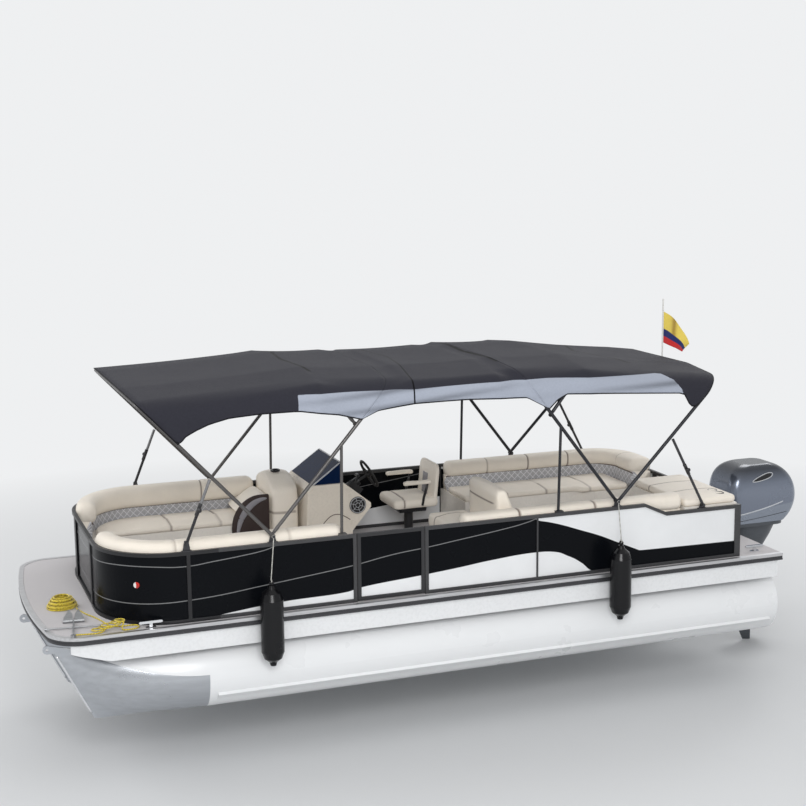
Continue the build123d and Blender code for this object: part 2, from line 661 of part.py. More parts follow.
# Tower backrest at the aft end of the starboard bow lounge, arched over its width
TOWER_OUTER = FENCE_HALF - 70.0
TOWER_INNER = 470.0
LEAN_TOP = TOWER_TOP - 170.0
LEAN_LONG = 330.0
END_PANEL_THICK = 12.0
with BuildPart() as tower_backrest:
    with BuildSketch(Plane.YZ.offset(TOWER_AFT)):
        with BuildLine():
            Polyline(
                (-TOWER_INNER, TOWER_TOP - 130),
                (-TOWER_INNER, DECK_TOP),
                (-TOWER_OUTER, DECK_TOP),
                (-TOWER_OUTER, TOWER_TOP - 110),
            )
            ThreePointArc(
                (-TOWER_OUTER, TOWER_TOP - 110),
                (-(TOWER_OUTER + TOWER_INNER) / 2 + 40, TOWER_TOP),
                (-TOWER_INNER, TOWER_TOP - 130),
            )
        make_face()
    extrude(amount=TOWER_FRONT - TOWER_AFT)
    fillet(tower_backrest.faces().sort_by(Axis.X)[-1].edges().filter_by(GeomType.CIRCLE), 60)
    # leaning back of the bow lounge in front of it, with a moulded panel on its inner end
    with BuildSketch(Plane.XZ.offset(SEAT_INNER - END_PANEL_THICK / 2)):
        with BuildLine():
            Polyline(
                (TOWER_FRONT - 20, SEAT_TOP + SOFT_GAP),
                (TOWER_FRONT - 20, LEAN_TOP),
                (TOWER_FRONT + 70, LEAN_TOP),
                (TOWER_FRONT + LEAN_LONG, SEAT_TOP + SOFT_GAP),
                close=True,
            )
        make_face()
    extrude(amount=BACK_INNER - SEAT_INNER + END_PANEL_THICK / 2 - SOFT_GAP)
    with BuildSketch(Plane.XZ.offset(TOWER_INNER + SOFT_GAP)):
        with BuildLine():
            Polyline(
                (TOWER_FRONT + LEAN_LONG + 50, SEAT_TOP - 135),
                (TOWER_FRONT + LEAN_LONG + 50, DECK_TOP + KICK_HIGH),
                (TOWER_FRONT - 20, DECK_TOP + KICK_HIGH),
                (TOWER_FRONT - 20, LEAN_TOP + 10),
                (TOWER_FRONT + 90, LEAN_TOP + 10),
            )
            ThreePointArc(
                (TOWER_FRONT + 90, LEAN_TOP + 10),
                (TOWER_FRONT + LEAN_LONG - 60, SEAT_TOP + 75),
                (TOWER_FRONT + LEAN_LONG + 50, SEAT_TOP - 135),
            )
        make_face()
    extrude(amount=END_PANEL_THICK)
export(tower_backrest.part, "tower_backrest")

# Chaise at the front of the aft port bench: seat cushion and its leaning back
CHAISE_BACK_TOP = 1440.0
with BuildPart() as chaise:
    with BuildSketch(Plane.XY.offset(BASE_TOP)):
        with Locations(((CHAISE_FRONT + CHAISE_AFT) / 2, (CHAISE_INNER + BACK_INNER) / 2)):
            Rectangle(CHAISE_FRONT - CHAISE_AFT, BACK_INNER - CHAISE_INNER)
    extrude(amount=CHAISE_TOP - BASE_TOP)
    fillet(chaise.faces().sort_by(Axis.Z)[-1].edges(), 30)
    with BuildSketch(Plane.XZ.offset(-BACK_INNER + 10)):
        with BuildLine():
            Polyline(
                (CHAISE_AFT - SOFT_GAP, BASE_TOP),
                (CHAISE_AFT - SOFT_GAP, CHAISE_BACK_TOP - 60),
                (CHAISE_AFT - 40, CHAISE_BACK_TOP),
                (CHAISE_AFT - 130, CHAISE_BACK_TOP - 10),
                (CHAISE_BACK_X, BASE_TOP),
                close=True,
            )
        make_face()
        fillet(vertices().sort_by(Axis.Y)[-3:], 22)
    extrude(amount=BACK_INNER - CHAISE_INNER - 20)
export(chaise.part, "chaise")

# Port stern locker and the sun pad on it
locker_x = (STERN_INSIDE + STERN_UNIT_FRONT - SOFT_GAP) / 2
locker_y = (STERN_GATE_HIGH + LOCKER_GAP + AFT_OUTER) / 2
locker_long = STERN_UNIT_FRONT - SOFT_GAP - STERN_INSIDE
locker_wide = AFT_OUTER - STERN_GATE_HIGH - LOCKER_GAP
PAD_THICK = 85.0
with BuildPart() as stern_locker:
    with BuildSketch(Plane.XY.offset(DECK_TOP)):
        with Locations((locker_x, locker_y)):
            Rectangle(locker_long, locker_wide)
    extrude(amount=STERN_TOP - PAD_THICK - DECK_TOP)
    with BuildSketch(Plane.XZ.offset(-AFT_OUTER)):
        with Locations((STERN_UNIT_FRONT, DECK_TOP)):
            Rectangle(2 * KICK_DEEP, 2 * KICK_HIGH)
    extrude(amount=locker_wide, mode=Mode.SUBTRACT)
export(stern_locker.part, "stern_locker")
with BuildPart() as sun_pad:
    with BuildSketch(Plane.XY.offset(STERN_TOP - PAD_THICK)):
        with Locations((locker_x, locker_y)):
            Rectangle(locker_long, locker_wide)
    extrude(amount=PAD_THICK)
    fillet(sun_pad.faces().sort_by(Axis.Z)[-1].edges(), 28)
export(sun_pad.part, "sun_pad")

# Helm console: side profile across the boat, the dash slope facing aft
CONSOLE_INNER = 300.0
CONSOLE_OUTER = FENCE_HALF - 140.0
CONSOLE_TOP = 1300.0
with BuildPart() as console:
    with BuildSketch(Plane.XZ.offset(CONSOLE_INNER)):
        with BuildLine():
            Polyline(
                (950, DECK_TOP),
                (975, 900),
                (955, CONSOLE_TOP - 60),
                (900, CONSOLE_TOP),
                (585, CONSOLE_TOP),
                (312, 1080),
                (312, 1040),
                (505, 815),
                (505, DECK_TOP),
                close=True,
            )
        make_face()
        fillet(vertices().sort_by(Axis.Y)[-4:], 18)
    extrude(amount=CONSOLE_OUTER - CONSOLE_INNER)
export(console.part, "console")

# Wrap windscreen on the console: sloped front sheet with a wing each side
SCREEN_THICK = 6.0
SCREEN_INSET = 30.0
with BuildPart() as windscreen:
    with BuildSketch(Plane.XZ.offset(CONSOLE_INNER + SCREEN_INSET)):
        with BuildLine():
            Polyline(
                (905, CONSOLE_TOP),
                (612, 1508),
                (604, 1500),
                (890, CONSOLE_TOP),
                close=True,
            )
        make_face()
    extrude(amount=CONSOLE_OUTER - CONSOLE_INNER - 2 * SCREEN_INSET)
    for wing_y in (CONSOLE_INNER + SCREEN_INSET, CONSOLE_OUTER - SCREEN_INSET - SCREEN_THICK):
        with BuildSketch(Plane.XZ.offset(wing_y)):
            with BuildLine():
                Polyline(
                    (897, CONSOLE_TOP),
                    (610, 1504),
                    (590, 1490),
                    (600, CONSOLE_TOP),
                    close=True,
                )
            make_face()
        extrude(amount=SCREEN_THICK)
export(windscreen.part, "windscreen")

# Steering wheel on its raked column
WHEEL_X = 175.0
WHEEL_Y = -750.0
WHEEL_Z = 1269.0
WHEEL_RAKE = 28.2
WHEEL_RADIUS = 148.0
COLUMN_RADIUS = 14.0
wheel_axis = (-math.cos(math.radians(WHEEL_RAKE)), 0, math.sin(math.radians(WHEEL_RAKE)))
wheel_plane = Plane(origin=(WHEEL_X, WHEEL_Y, WHEEL_Z), x_dir=(0, -1, 0), z_dir=wheel_axis)
with BuildPart() as steering_wheel:
    with BuildSketch(wheel_plane.offset(-26)):
        Circle(34)
    extrude(amount=40)
    with BuildSketch(wheel_plane.offset(-190)):
        Circle(COLUMN_RADIUS)
    extrude(amount=170)
    with BuildSketch(wheel_plane.offset(-5)):
        for spoke_angle in (-90, 30, 150):
            with PolarLocations(0, 1, start_angle=spoke_angle):
                with Locations((WHEEL_RADIUS / 2, 0)):
                    Rectangle(WHEEL_RADIUS, 26)
    extrude(amount=7)
    with BuildSketch(Plane(
        origin=(WHEEL_X, WHEEL_Y - WHEEL_RADIUS, WHEEL_Z),
        x_dir=(0, -1, 0),
        z_dir=(wheel_axis[2], 0, -wheel_axis[0]),
    )):
        Circle(13)
    revolve(axis=Axis((WHEEL_X, WHEEL_Y, WHEEL_Z), wheel_axis), revolution_arc=360)
export(steering_wheel.part, "steering_wheel")

# Dash boss that the column turns in, with the throttle box beside it
BOSS_LONG = 160.0
THROTTLE_Y = -450.0
SPEAKER_X = 452.0
SPEAKER_Z = 1070.0
with BuildPart() as dash:
    with BuildSketch(wheel_plane.offset(-130 - BOSS_LONG)):
        Circle(44)
    extrude(amount=BOSS_LONG)
    with BuildSketch(wheel_plane.offset(-200)):
        Circle(COLUMN_RADIUS + 0.3)
    extrude(amount=70, mode=Mode.SUBTRACT)
    with BuildSketch(Plane.XZ.offset(-THROTTLE_Y - 30)):
        with Locations((428, 1215)):
            Rectangle(150, 70, rotation=39)
    extrude(amount=60)
    with BuildSketch(Plane.XZ.offset(-THROTTLE_Y + 22)):
        with Locations((400, 1280)):
            Rectangle(18, 90, rotation=20)
    extrude(amount=14)
    with BuildSketch(Plane.XZ.offset(-THROTTLE_Y + 12)):
        with Locations((385, 1322)):
            Circle(17)
    extrude(amount=70)
    add(console.part, mode=Mode.SUBTRACT)
    # round speaker on the port cheek
    with BuildSketch(Plane.XZ.offset(CONSOLE_INNER - 12)):
        with Locations((SPEAKER_X, SPEAKER_Z)):
            Circle(84)
            Circle(68, mode=Mode.SUBTRACT)
    extrude(amount=12)
    with BuildSketch(Plane.XZ.offset(CONSOLE_INNER - 5)):
        with Locations((SPEAKER_X, SPEAKER_Z)):
            Circle(70)
    extrude(amount=5)
export(dash.part, "dash")

# Helm seat on its pedestal
SEAT_X = -230.0
SEAT_Y = -700.0
SEAT_PIN = 25.0
HELM_CUSHION_LOW = 930.0
with BuildPart() as pedestal:
    with BuildSketch(Plane.XY.offset(DECK_TOP)):
        with Locations((SEAT_X, SEAT_Y)):
            Circle(170)
    extrude(amount=14)
    with BuildSketch(Plane.XY.offset(DECK_TOP)):
        with Locations((SEAT_X, SEAT_Y)):
            Circle(46)
    extrude(amount=HELM_CUSHION_LOW - 60 - DECK_TOP)
    with BuildSketch(Plane.XY.offset(DECK_TOP)):
        with Locations((SEAT_X, SEAT_Y)):
            Circle(SEAT_PIN)
    extrude(amount=HELM_CUSHION_LOW - 10 - DECK_TOP)
export(pedestal.part, "pedestal")
with BuildPart() as helm_seat:
    with BuildSketch(Plane.XY.offset(HELM_CUSHION_LOW - 60)):
        with Locations((SEAT_X, SEAT_Y)):
            Rectangle(300, 300)
            Circle(SEAT_PIN + 0.3, mode=Mode.SUBTRACT)
    extrude(amount=60)
    with BuildSketch(Plane.XY.offset(HELM_CUSHION_LOW)):
        with Locations((SEAT_X, SEAT_Y)):
            RectangleRounded(490, 500, 60)
    extrude(amount=120)
    fillet(helm_seat.faces().sort_by(Axis.Z)[-1].edges(), 30)
    with BuildSketch(Plane.XZ.offset(-SEAT_Y - 235)):
        with BuildLine():
            Polyline(
                (SEAT_X - 160, HELM_CUSHION_LOW + 60),
                (SEAT_X - 205, 1360),
                (SEAT_X - 262, 1360),
                (SEAT_X - 250, HELM_CUSHION_LOW + 60),
                close=True,
            )
        make_face()
        fillet(vertices().sort_by(Axis.Z)[-2:], 26)
    extrude(amount=470)
    # arm rests on bent brackets
    for way in (1, -1):
        with BuildSketch(Plane.XZ.offset(-SEAT_Y - way * 262 - 24)):
            with Locations((SEAT_X, 1205)):
                RectangleRounded(300, 44, 20)
        extrude(amount=48)
        with BuildSketch(Plane.XZ.offset(-SEAT_Y - way * 246 - 6)):
            with BuildLine():
                Polyline(
                    (SEAT_X - 150, 950),
                    (SEAT_X - 30, 950),
                    (SEAT_X - 90, 1190),
                    (SEAT_X - 140, 1190),
                    close=True,
                )
            make_face()
        extrude(amount=12)
export(helm_seat.part, "helm_seat")


# Leg and crown lines of a sun-top bow, grown outward: points in the bow's own plane
def arch_points(half, low, high, grow):
    crown_half = half * 0.45
    run = half - crown_half
    length = math.hypot(run, CROWN_RISE)
    slope = CROWN_RISE / run
    side = half + grow
    start_v = high - CROWN_RISE + grow * run / length
    start_y = half + grow * CROWN_RISE / length
    shoulder = start_v - (side - start_y) * slope
    top = high + grow
    crown = start_y - (top - start_v) / slope
    return [(-side, low), (-side, shoulder), (-crown, top), (crown, top), (side, shoulder), (side, low)]


# Plane of a bow: origin on the centreline at its pivots, local Y along the leg
def bow_plane(pivot_x, pivot_z, lean):
    angle = math.radians(lean)
    return Plane(
        origin=(pivot_x, 0, pivot_z),
        x_dir=(0, 1, 0),
        z_dir=(math.sin(angle), 0, -math.cos(angle)),
    )


LUG_RADIUS = 20.0
LUG_THICK = 14.0
LUG_LONG = 60.0
PIN_RADIUS = 6.0


# A round tube hoop with a flat lug at each foot
def hoop(pivot_x, pivot_z, lean, half, high, pin):
    plane = bow_plane(pivot_x, pivot_z, lean)
    with BuildLine(plane) as path:
        FilletPolyline(arch_points(half, LUG_LONG - 20, high, 0), radius=HOOP_CORNER)
    with BuildSketch(Plane(origin=path.line @ 0, z_dir=path.line % 0)) as disc:
        Circle(BOW_TUBE / 2)
    sweep(disc.sketch, path=path.line)
    angle = math.radians(lean)
    for way in (1, -1):
        with BuildSketch(Plane.XZ.offset(-way * half - LUG_THICK / 2)) as lug:
            with Locations((pivot_x, pivot_z)):
                Circle(LUG_RADIUS)
            with Locations((
                pivot_x + LUG_LONG / 2 * math.cos(angle),
                pivot_z + LUG_LONG / 2 * math.sin(angle),
            )):
                Rectangle(LUG_LONG, 26, rotation=lean)
            with Locations((pivot_x, pivot_z)):
                Circle(pin, mode=Mode.SUBTRACT)
        extrude(lug.sketch, amount=LUG_THICK)


# Straight tube between two points in a lengthwise plane
def strut(side_y, start, end, radius):
    origin = (start[0], side_y, start[1])
    run = (end[0] - start[0], 0, end[1] - start[1])
    with BuildSketch(Plane(origin=origin, z_dir=run)) as disc:
        Circle(radius)
    extrude(disc.sketch, amount=math.hypot(run[0], run[2]))


FRONT_PIVOT = (1722.0, 1260.0)
REAR_PIVOT = (-1606.0, 1252.0)
FRONT_END_LEAN = 47.2
FRONT_END_HIGH = 1682.0
FRONT_FIXED_LEAN = 131.0
FRONT_FIXED_HIGH = 1710.0
REAR_END_LEAN = 134.0
REAR_END_HIGH = 1575.0
REAR_FIXED_LEAN = 52.4
REAR_FIXED_HIGH = 1650.0
FRONT_MID_SHARE = 1199.0
FRONT_MID_LEAN = 51.1
FRONT_MID_HIGH = 533.0
REAR_MID_SHARE = 1080.0
REAR_MID_LEAN = 128.5
REAR_MID_HIGH = 560.0


def along(pivot, lean, share):
    angle = math.radians(lean)
    return (pivot[0] + share * math.cos(angle), pivot[1] + share * math.sin(angle))


FRONT_MID_PIVOT = along(FRONT_PIVOT, FRONT_FIXED_LEAN, FRONT_MID_SHARE)
REAR_MID_PIVOT = along(REAR_PIVOT, REAR_FIXED_LEAN, REAR_MID_SHARE)

# Fixed bows with their upright struts and the pins of the middle bows:
# (name, pivot, lean, high, middle pivot, upright's foot X)
FIXED_BOWS = [
    ("front_fixed_bow", FRONT_PIVOT, FRONT_FIXED_LEAN, FRONT_FIXED_HIGH, FRONT_MID_PIVOT, 1090.0),
    ("rear_fixed_bow", REAR_PIVOT, REAR_FIXED_LEAN, REAR_FIXED_HIGH, REAR_MID_PIVOT, -1010.0),
]
UPRIGHT_TOP = 2000.0
for label, pivot, lean, high, mid_pivot, foot_x in FIXED_BOWS:
    upright_top = along(pivot, lean, (UPRIGHT_TOP - pivot[1]) / math.sin(math.radians(lean)))
    with BuildPart() as bow:
        hoop(pivot[0], pivot[1], lean, INNER_HOOP, high, PIN_RADIUS)
        for way in (1, -1):
            strut(way * INNER_HOOP, (foot_x, FENCE_TOP + 8), upright_top, STRUT_TUBE / 2)
            # foot of the upright on the top rail
            with BuildSketch(Plane.XY.offset(FENCE_TOP)):
                with Locations((foot_x, way * (FENCE_HALF - 30))):
                    Rectangle(70, 60)
            extrude(amount=14)
            # inward pin for the middle bow
            pin_in = MIDDLE_HOOP - 18
            with BuildSketch(Plane.XZ.offset(-INNER_HOOP if way > 0 else pin_in)):
                with Locations(mid_pivot):
                    Circle(PIN_RADIUS)
            extrude(amount=INNER_HOOP - pin_in)
    export(bow.part, label)

# Folding bows: (name, pivot, lean, half width, high)
FOLDING_BOWS = [
    ("front_end_bow", FRONT_PIVOT, FRONT_END_LEAN, OUTER_HOOP, FRONT_END_HIGH),
    ("front_mid_bow", FRONT_MID_PIVOT, FRONT_MID_LEAN, MIDDLE_HOOP, FRONT_MID_HIGH),
    ("rear_end_bow", REAR_PIVOT, REAR_END_LEAN, OUTER_HOOP, REAR_END_HIGH),
    ("rear_mid_bow", REAR_MID_PIVOT, REAR_MID_LEAN, MIDDLE_HOOP, REAR_MID_HIGH),
]
for label, pivot, lean, half, high in FOLDING_BOWS:
    with BuildPart() as bow:
        hoop(pivot[0], pivot[1], lean, half, high, PIN_RADIUS + PIN_PLAY)
    export(bow.part, label)

# Folding struts that prop the end bows: (name, foot, lean, length)
FRONT_STRUT_FOOT = (2470.0, 1275.0)
REAR_STRUT_FOOT = (-2524.0, 1130.0)
STRUTS = [
    ("front_strut", FRONT_STRUT_FOOT, 112.0, 568.0),
    ("rear_strut", REAR_STRUT_FOOT, 62.7, 752.0),
]
for label, foot, lean, length in STRUTS:
    angle = math.radians(lean)
    tip = along(foot, lean, length)
    start = along(foot, lean, 30)
    with BuildPart() as prop:
        for way in (1, -1):
            strut(way * OUTER_HOOP, start, tip, STRUT_TUBE / 2)
            with BuildSketch(Plane.XZ.offset(-way * OUTER_HOOP - LUG_THICK / 2)):
                with Locations(foot):
                    Circle(LUG_RADIUS - 2)
                with Locations(along(foot, lean, 25)):
                    Rectangle(50, 24, rotation=lean)
                with Locations(foot):
                    Circle(PIN_RADIUS + PIN_PLAY, mode=Mode.SUBTRACT)
            extrude(amount=LUG_THICK)
    export(prop.part, label)

# Brackets on the top rails: (pivot, rail height, inner pin reach)
CHEEK_THICK = 8.0
CHEEK_Y = FENCE_HALF - 20.0
BRACKETS = [
    (FRONT_PIVOT, FENCE_TOP, INNER_HOOP - 10),
    (REAR_PIVOT, FENCE_TOP, INNER_HOOP - 10),
    (FRONT_STRUT_FOOT, FENCE_TOP, CHEEK_Y - 12),
    (REAR_STRUT_FOOT, FENCE_TOP - STEP_DROP, CHEEK_Y - 7),
]
PIN_OUT = OUTER_HOOP + 18
HEAD_RADIUS = 12.0
HEAD_THICK = 6.0
with BuildPart() as top_brackets:
    for pivot, rail_z, pin_in in BRACKETS:
        for way in (1, -1):
            with BuildSketch(Plane.XY.offset(rail_z)):
                with Locations((pivot[0], way * (FENCE_HALF - FRAME_DEEP / 2))):
                    Rectangle(90, FRAME_DEEP)
            extrude(amount=6)
            with BuildSketch(Plane.XZ.offset(-way * CHEEK_Y - CHEEK_THICK / 2)):
                with BuildLine():
                    Polyline(
                        (pivot[0] - 34, rail_z + 3),
                        (pivot[0] + 34, rail_z + 3),
                        (pivot[0] + 17, pivot[1] + 16),
                        (pivot[0] - 17, pivot[1] + 16),
                        close=True,
                    )
                make_face()
            extrude(amount=CHEEK_THICK)
            spans = [
                (PIN_RADIUS, pin_in, PIN_OUT),
                (HEAD_RADIUS, pin_in - HEAD_THICK, pin_in),
                (HEAD_RADIUS, PIN_OUT, PIN_OUT + HEAD_THICK),
            ]
            for radius, low_y, high_y in spans:
                with BuildSketch(Plane.XZ.offset(-high_y if way > 0 else low_y)):
                    with Locations(pivot):
                        Circle(radius)
                extrude(amount=high_y - low_y)
export(top_brackets.part, "top_brackets")


# Outline of a canopy across the boat: the arch grown twice, closed at both lower edges
def canopy_lines(half, low, high, corner):
    outer = arch_points(half, low, high, BOW_TUBE / 2 + CLOTH_GAP + CANOPY_THICK)
    inner = arch_points(half, low, high, BOW_TUBE / 2 + CLOTH_GAP)
    FilletPolyline(outer, radius=corner + CANOPY_THICK)
    FilletPolyline(inner, radius=corner)
    Line(outer[0], inner[0])
    Line(outer[-1], inner[-1])


def upright(x):
    return Plane(origin=(x, 0, 0), x_dir=(0, 1, 0), z_dir=(1, 0, 0))


# Canopy sections: (plane, half width, lower edge, top, corner radius), measured in the plane
CLOTH_CORNER = HOOP_CORNER + BOW_TUBE / 2 + CLOTH_GAP
RIDGE_CORNER = 140.0
TILT_RAISE = 10.0
front_end = (
    bow_plane(*FRONT_PIVOT, FRONT_END_LEAN), OUTER_HOOP, 1169.0, FRONT_END_HIGH + TILT_RAISE, CLOTH_CORNER,
)
front_ridge = (upright(FRONT_MID_PIVOT[0] + 335), OUTER_HOOP, 2327.0, 2588.0, RIDGE_CORNER)
front_inner = (
    bow_plane(*FRONT_PIVOT, FRONT_FIXED_LEAN), INNER_HOOP, 1250.0, FRONT_FIXED_HIGH + TILT_RAISE, CLOTH_CORNER,
)
zip_section = (upright(400.0), INNER_HOOP, 2310.0, 2552.0, RIDGE_CORNER)
middle_section = (upright(-420.0), INNER_HOOP, 2290.0, 2556.0, RIDGE_CORNER)
rear_inner = (
    bow_plane(*REAR_PIVOT, REAR_FIXED_LEAN), INNER_HOOP, 1160.0, REAR_FIXED_HIGH + TILT_RAISE, CLOTH_CORNER,
)
rear_ridge = (upright(REAR_MID_PIVOT[0] - 350), OUTER_HOOP, 2262.0, 2554.0, RIDGE_CORNER)
rear_end = (
    bow_plane(*REAR_PIVOT, REAR_END_LEAN), OUTER_HOOP, 1180.0, REAR_END_HIGH + TILT_RAISE, CLOTH_CORNER,
)
CANOPIES = [
    ("canopy_front", [front_inner, front_ridge, front_end]),
    ("canopy_middle", [rear_inner, middle_section, zip_section, front_inner]),
    ("canopy_rear", [rear_end, rear_ridge, rear_inner]),
]
for label, sections in CANOPIES:
    with BuildPart() as canopy:
        for plane, half, low, high, corner in sections:
            with BuildSketch(plane):
                with BuildLine():
                    canopy_lines(half, low, high, corner)
                make_face()
        loft(ruled=True)
    export(canopy.part, label)

# Outboard. Clamp bracket on the transom with the tilt pin
CLAMP_INNER = 70.0
CLAMP_THICK = 14.0
TILT_PIN = 14.0
KING_X = LEG_X + 140.0
KING_PIN = 16.0
KING_TUBE = 40.0
KING_LOW = 95.0
KING_HIGH = 500.0
ARM_THICK = 30.0
ARM_GAP = 5.0
with BuildPart() as clamp_bracket:
    for way in (1, -1):
        with BuildSketch(Plane.XZ.offset(-way * (CLAMP_INNER + CLAMP_THICK / 2) - CLAMP_THICK / 2)):
            with BuildLine():
                Polyline(
                    (TRANSOM_X, 190),
                    (TRANSOM_X - 52, 190),
                    (TRANSOM_X - 40, TILT_Z + 10),
                    (TILT_X - 12, TILT_Z + 34),
                    (TILT_X + 28, TILT_Z + 22),
                    (TILT_X + 26, TILT_Z - 26),
                    (TRANSOM_X, TRANSOM_TOP + 8),
                    close=True,
                )
            make_face()
        extrude(amount=CLAMP_THICK)
    with BuildSketch(Plane.XZ.offset(-CLAMP_INNER - CLAMP_THICK - 8)):
        with Locations((TILT_X, TILT_Z)):
            Circle(TILT_PIN)
    extrude(amount=2 * (CLAMP_INNER + CLAMP_THICK + 8))
export(clamp_bracket.part, "clamp_bracket")

with BuildPart() as swivel_bracket:
    with BuildSketch(Plane.XZ.offset(-CLAMP_INNER + 6)):
        with Locations((TILT_X, TILT_Z)):
            Circle(31)
        with Locations(((TILT_X + KING_X) / 2, TILT_Z)):
            Rectangle(TILT_X - KING_X, 50)
    extrude(amount=2 * (CLAMP_INNER - 6))
    with BuildSketch(Plane.XY.offset(KING_LOW)):
        with Locations((KING_X, 0)):
            Circle(KING_TUBE)
    extrude(amount=KING_HIGH - KING_LOW)
    with BuildSketch(Plane.XY.offset(KING_LOW - ARM_GAP - ARM_THICK)):
        with Locations((KING_X, 0)):
            Circle(KING_PIN)
    extrude(amount=KING_HIGH - KING_LOW + 2 * (ARM_GAP + ARM_THICK))
    with BuildSketch(Plane.XZ.offset(-CLAMP_INNER)):
        with Locations((TILT_X, TILT_Z)):
            Circle(TILT_PIN + 0.3)
    extrude(amount=2 * CLAMP_INNER, mode=Mode.SUBTRACT)
export(swivel_bracket.part, "swivel_bracket")

# Leg: pan under the cowl, tapered column, arms on the king pin, plates and gear case
LEG_RADIUS_X = 118.0
LEG_HALF = 60.0
PAN_LOW = 560.0
COWL_LOW = 600.0
PLATE_Z = -292.0
GEAR_RADIUS = 56.0
GEAR_FRONT = LEG_X + 170.0
GEAR_AFT = PROP_X + 50.0
SHAFT_RADIUS = 10.0
with BuildPart() as motor_leg:
    with BuildSketch(Plane.XY.offset(PAN_LOW)):
        with Locations((LEG_X - 70, 0)):
            RectangleRounded(640, 500, 120)
    extrude(amount=COWL_LOW - PAN_LOW)
    leg_ends = ((PLATE_Z, LEG_RADIUS_X, LEG_HALF - 22), (PAN_LOW, LEG_RADIUS_X + 40, LEG_HALF + 40))
    for height, length, half in leg_ends:
        with BuildSketch(Plane.XY.offset(height)):
            with Locations((LEG_X - 60, 0)):
                SlotOverall(2 * length, 2 * half)
    loft()
    for arm_z in (KING_LOW - ARM_GAP - ARM_THICK, KING_HIGH + ARM_GAP):
        with BuildSketch(Plane.XY.offset(arm_z)):
            with Locations((KING_X, 0)):
                Circle(36)
            with Locations(((KING_X + LEG_X) / 2, 0)):
                Rectangle(KING_X - LEG_X, 50)
            with Locations((KING_X, 0)):
                Circle(KING_PIN + 0.3, mode=Mode.SUBTRACT)
        extrude(amount=ARM_THICK)
    with BuildSketch(Plane.XY.offset(PLATE_Z - 4)):
        with Locations((LEG_X - 90, 0)):
            RectangleRounded(480, 230, 100)
    extrude(amount=12)
    with BuildSketch(Plane.XY.offset(PROP_Z)):
        with Locations((LEG_X - 55, 0)):
            SlotOverall(2 * LEG_RADIUS_X, 52)
    extrude(amount=PLATE_Z - PROP_Z)
    with BuildSketch(Plane.XY.offset(PROP_Z)):
        with BuildLine():
            Polyline(
                (GEAR_FRONT, 0),
                (GEAR_AFT, 0),
                (GEAR_AFT, GEAR_RADIUS - 14),
                (GEAR_AFT + 120, GEAR_RADIUS),
                (GEAR_FRONT - 130, GEAR_RADIUS),
                (GEAR_FRONT - 60, GEAR_RADIUS - 12),
                (GEAR_FRONT - 15, GEAR_RADIUS - 34),
                close=True,
            )
        make_face()
    revolve(axis=Axis((0, 0, PROP_Z), (1, 0, 0)), revolution_arc=360)
    with BuildSketch(Plane.XZ.offset(-7)):
        with BuildLine():
            Polyline(
                (LEG_X + 40, PROP_Z - 40),
                (LEG_X - 60, PROP_Z - 260),
                (LEG_X - 150, PROP_Z - 268),
                (LEG_X - 150, PROP_Z - 40),
                close=True,
            )
        make_face()
    extrude(amount=14)
    with BuildSketch(Plane.YZ.offset(PROP_X - 90)):
        with Locations((0, PROP_Z)):
            Circle(SHAFT_RADIUS)
    extrude(amount=150)
    with BuildSketch(Plane.YZ.offset(PROP_X - 92)):
        with Locations((0, PROP_Z)):
            Circle(20)
    extrude(amount=22)
export(motor_leg.part, "motor_leg")

# Cowl sections: (height, front X, rear X, half width, corner)
COWL_SECTIONS = [
    (COWL_LOW, LEG_X + 255.0, LEG_X - 405.0, 262.0, 110.0),
    (COWL_LOW + 250.0, LEG_X + 285.0, LEG_X - 530.0, 275.0, 120.0),
    (COWL_LOW + 480.0, LEG_X + 255.0, LEG_X - 455.0, 250.0, 115.0),
    (COWL_LOW + 605.0, LEG_X + 70.0, LEG_X - 250.0, 150.0, 80.0),
]
COWL_WALL = 25.0
with BuildPart() as cowl:
    for shrink, mode in ((0.0, Mode.ADD), (COWL_WALL, Mode.SUBTRACT)):
        for height, front_x, rear_x, half, corner in COWL_SECTIONS:
            with BuildSketch(Plane.XY.offset(height - shrink * (height - COWL_LOW) / 600)):
                with Locations(((front_x + rear_x) / 2, 0)):
                    RectangleRounded(front_x - rear_x - 2 * shrink, 2 * (half - shrink), corner - shrink)
        loft(mode=mode)
export(cowl.part, "cowl")
BLADE_PITCH = 32.0
BLADES = 3
with BuildPart() as propeller:
    with BuildSketch(Plane.YZ.offset(PROP_X - 65)):
        with Locations((0, PROP_Z)):
            Circle(44)
    extrude(amount=110)
    for step in range(BLADES):
        turn = math.radians(360 / BLADES * step + 20)
        pitch = math.radians(BLADE_PITCH)
        out = (0, -math.sin(turn), math.cos(turn))
        chord = (math.sin(pitch), math.cos(pitch) * math.cos(turn), math.cos(pitch) * math.sin(turn))
        normal = (
            out[1] * chord[2] - out[2] * chord[1],
            out[2] * chord[0] - out[0] * chord[2],
            out[0] * chord[1] - out[1] * chord[0],
        )
        with BuildSketch(Plane(origin=(PROP_X - 8, 0, PROP_Z), x_dir=out, z_dir=normal).offset(-4)):
            with Locations((PROP_RADIUS - 82, 0)):
                Ellipse(82, 58)
        extrude(amount=8)
    with BuildSketch(Plane.YZ.offset(PROP_X - 70)):
        with Locations((0, PROP_Z)):
            Circle(SHAFT_RADIUS + 0.3)
    extrude(amount=120, mode=Mode.SUBTRACT)
export(propeller.part, "propeller")

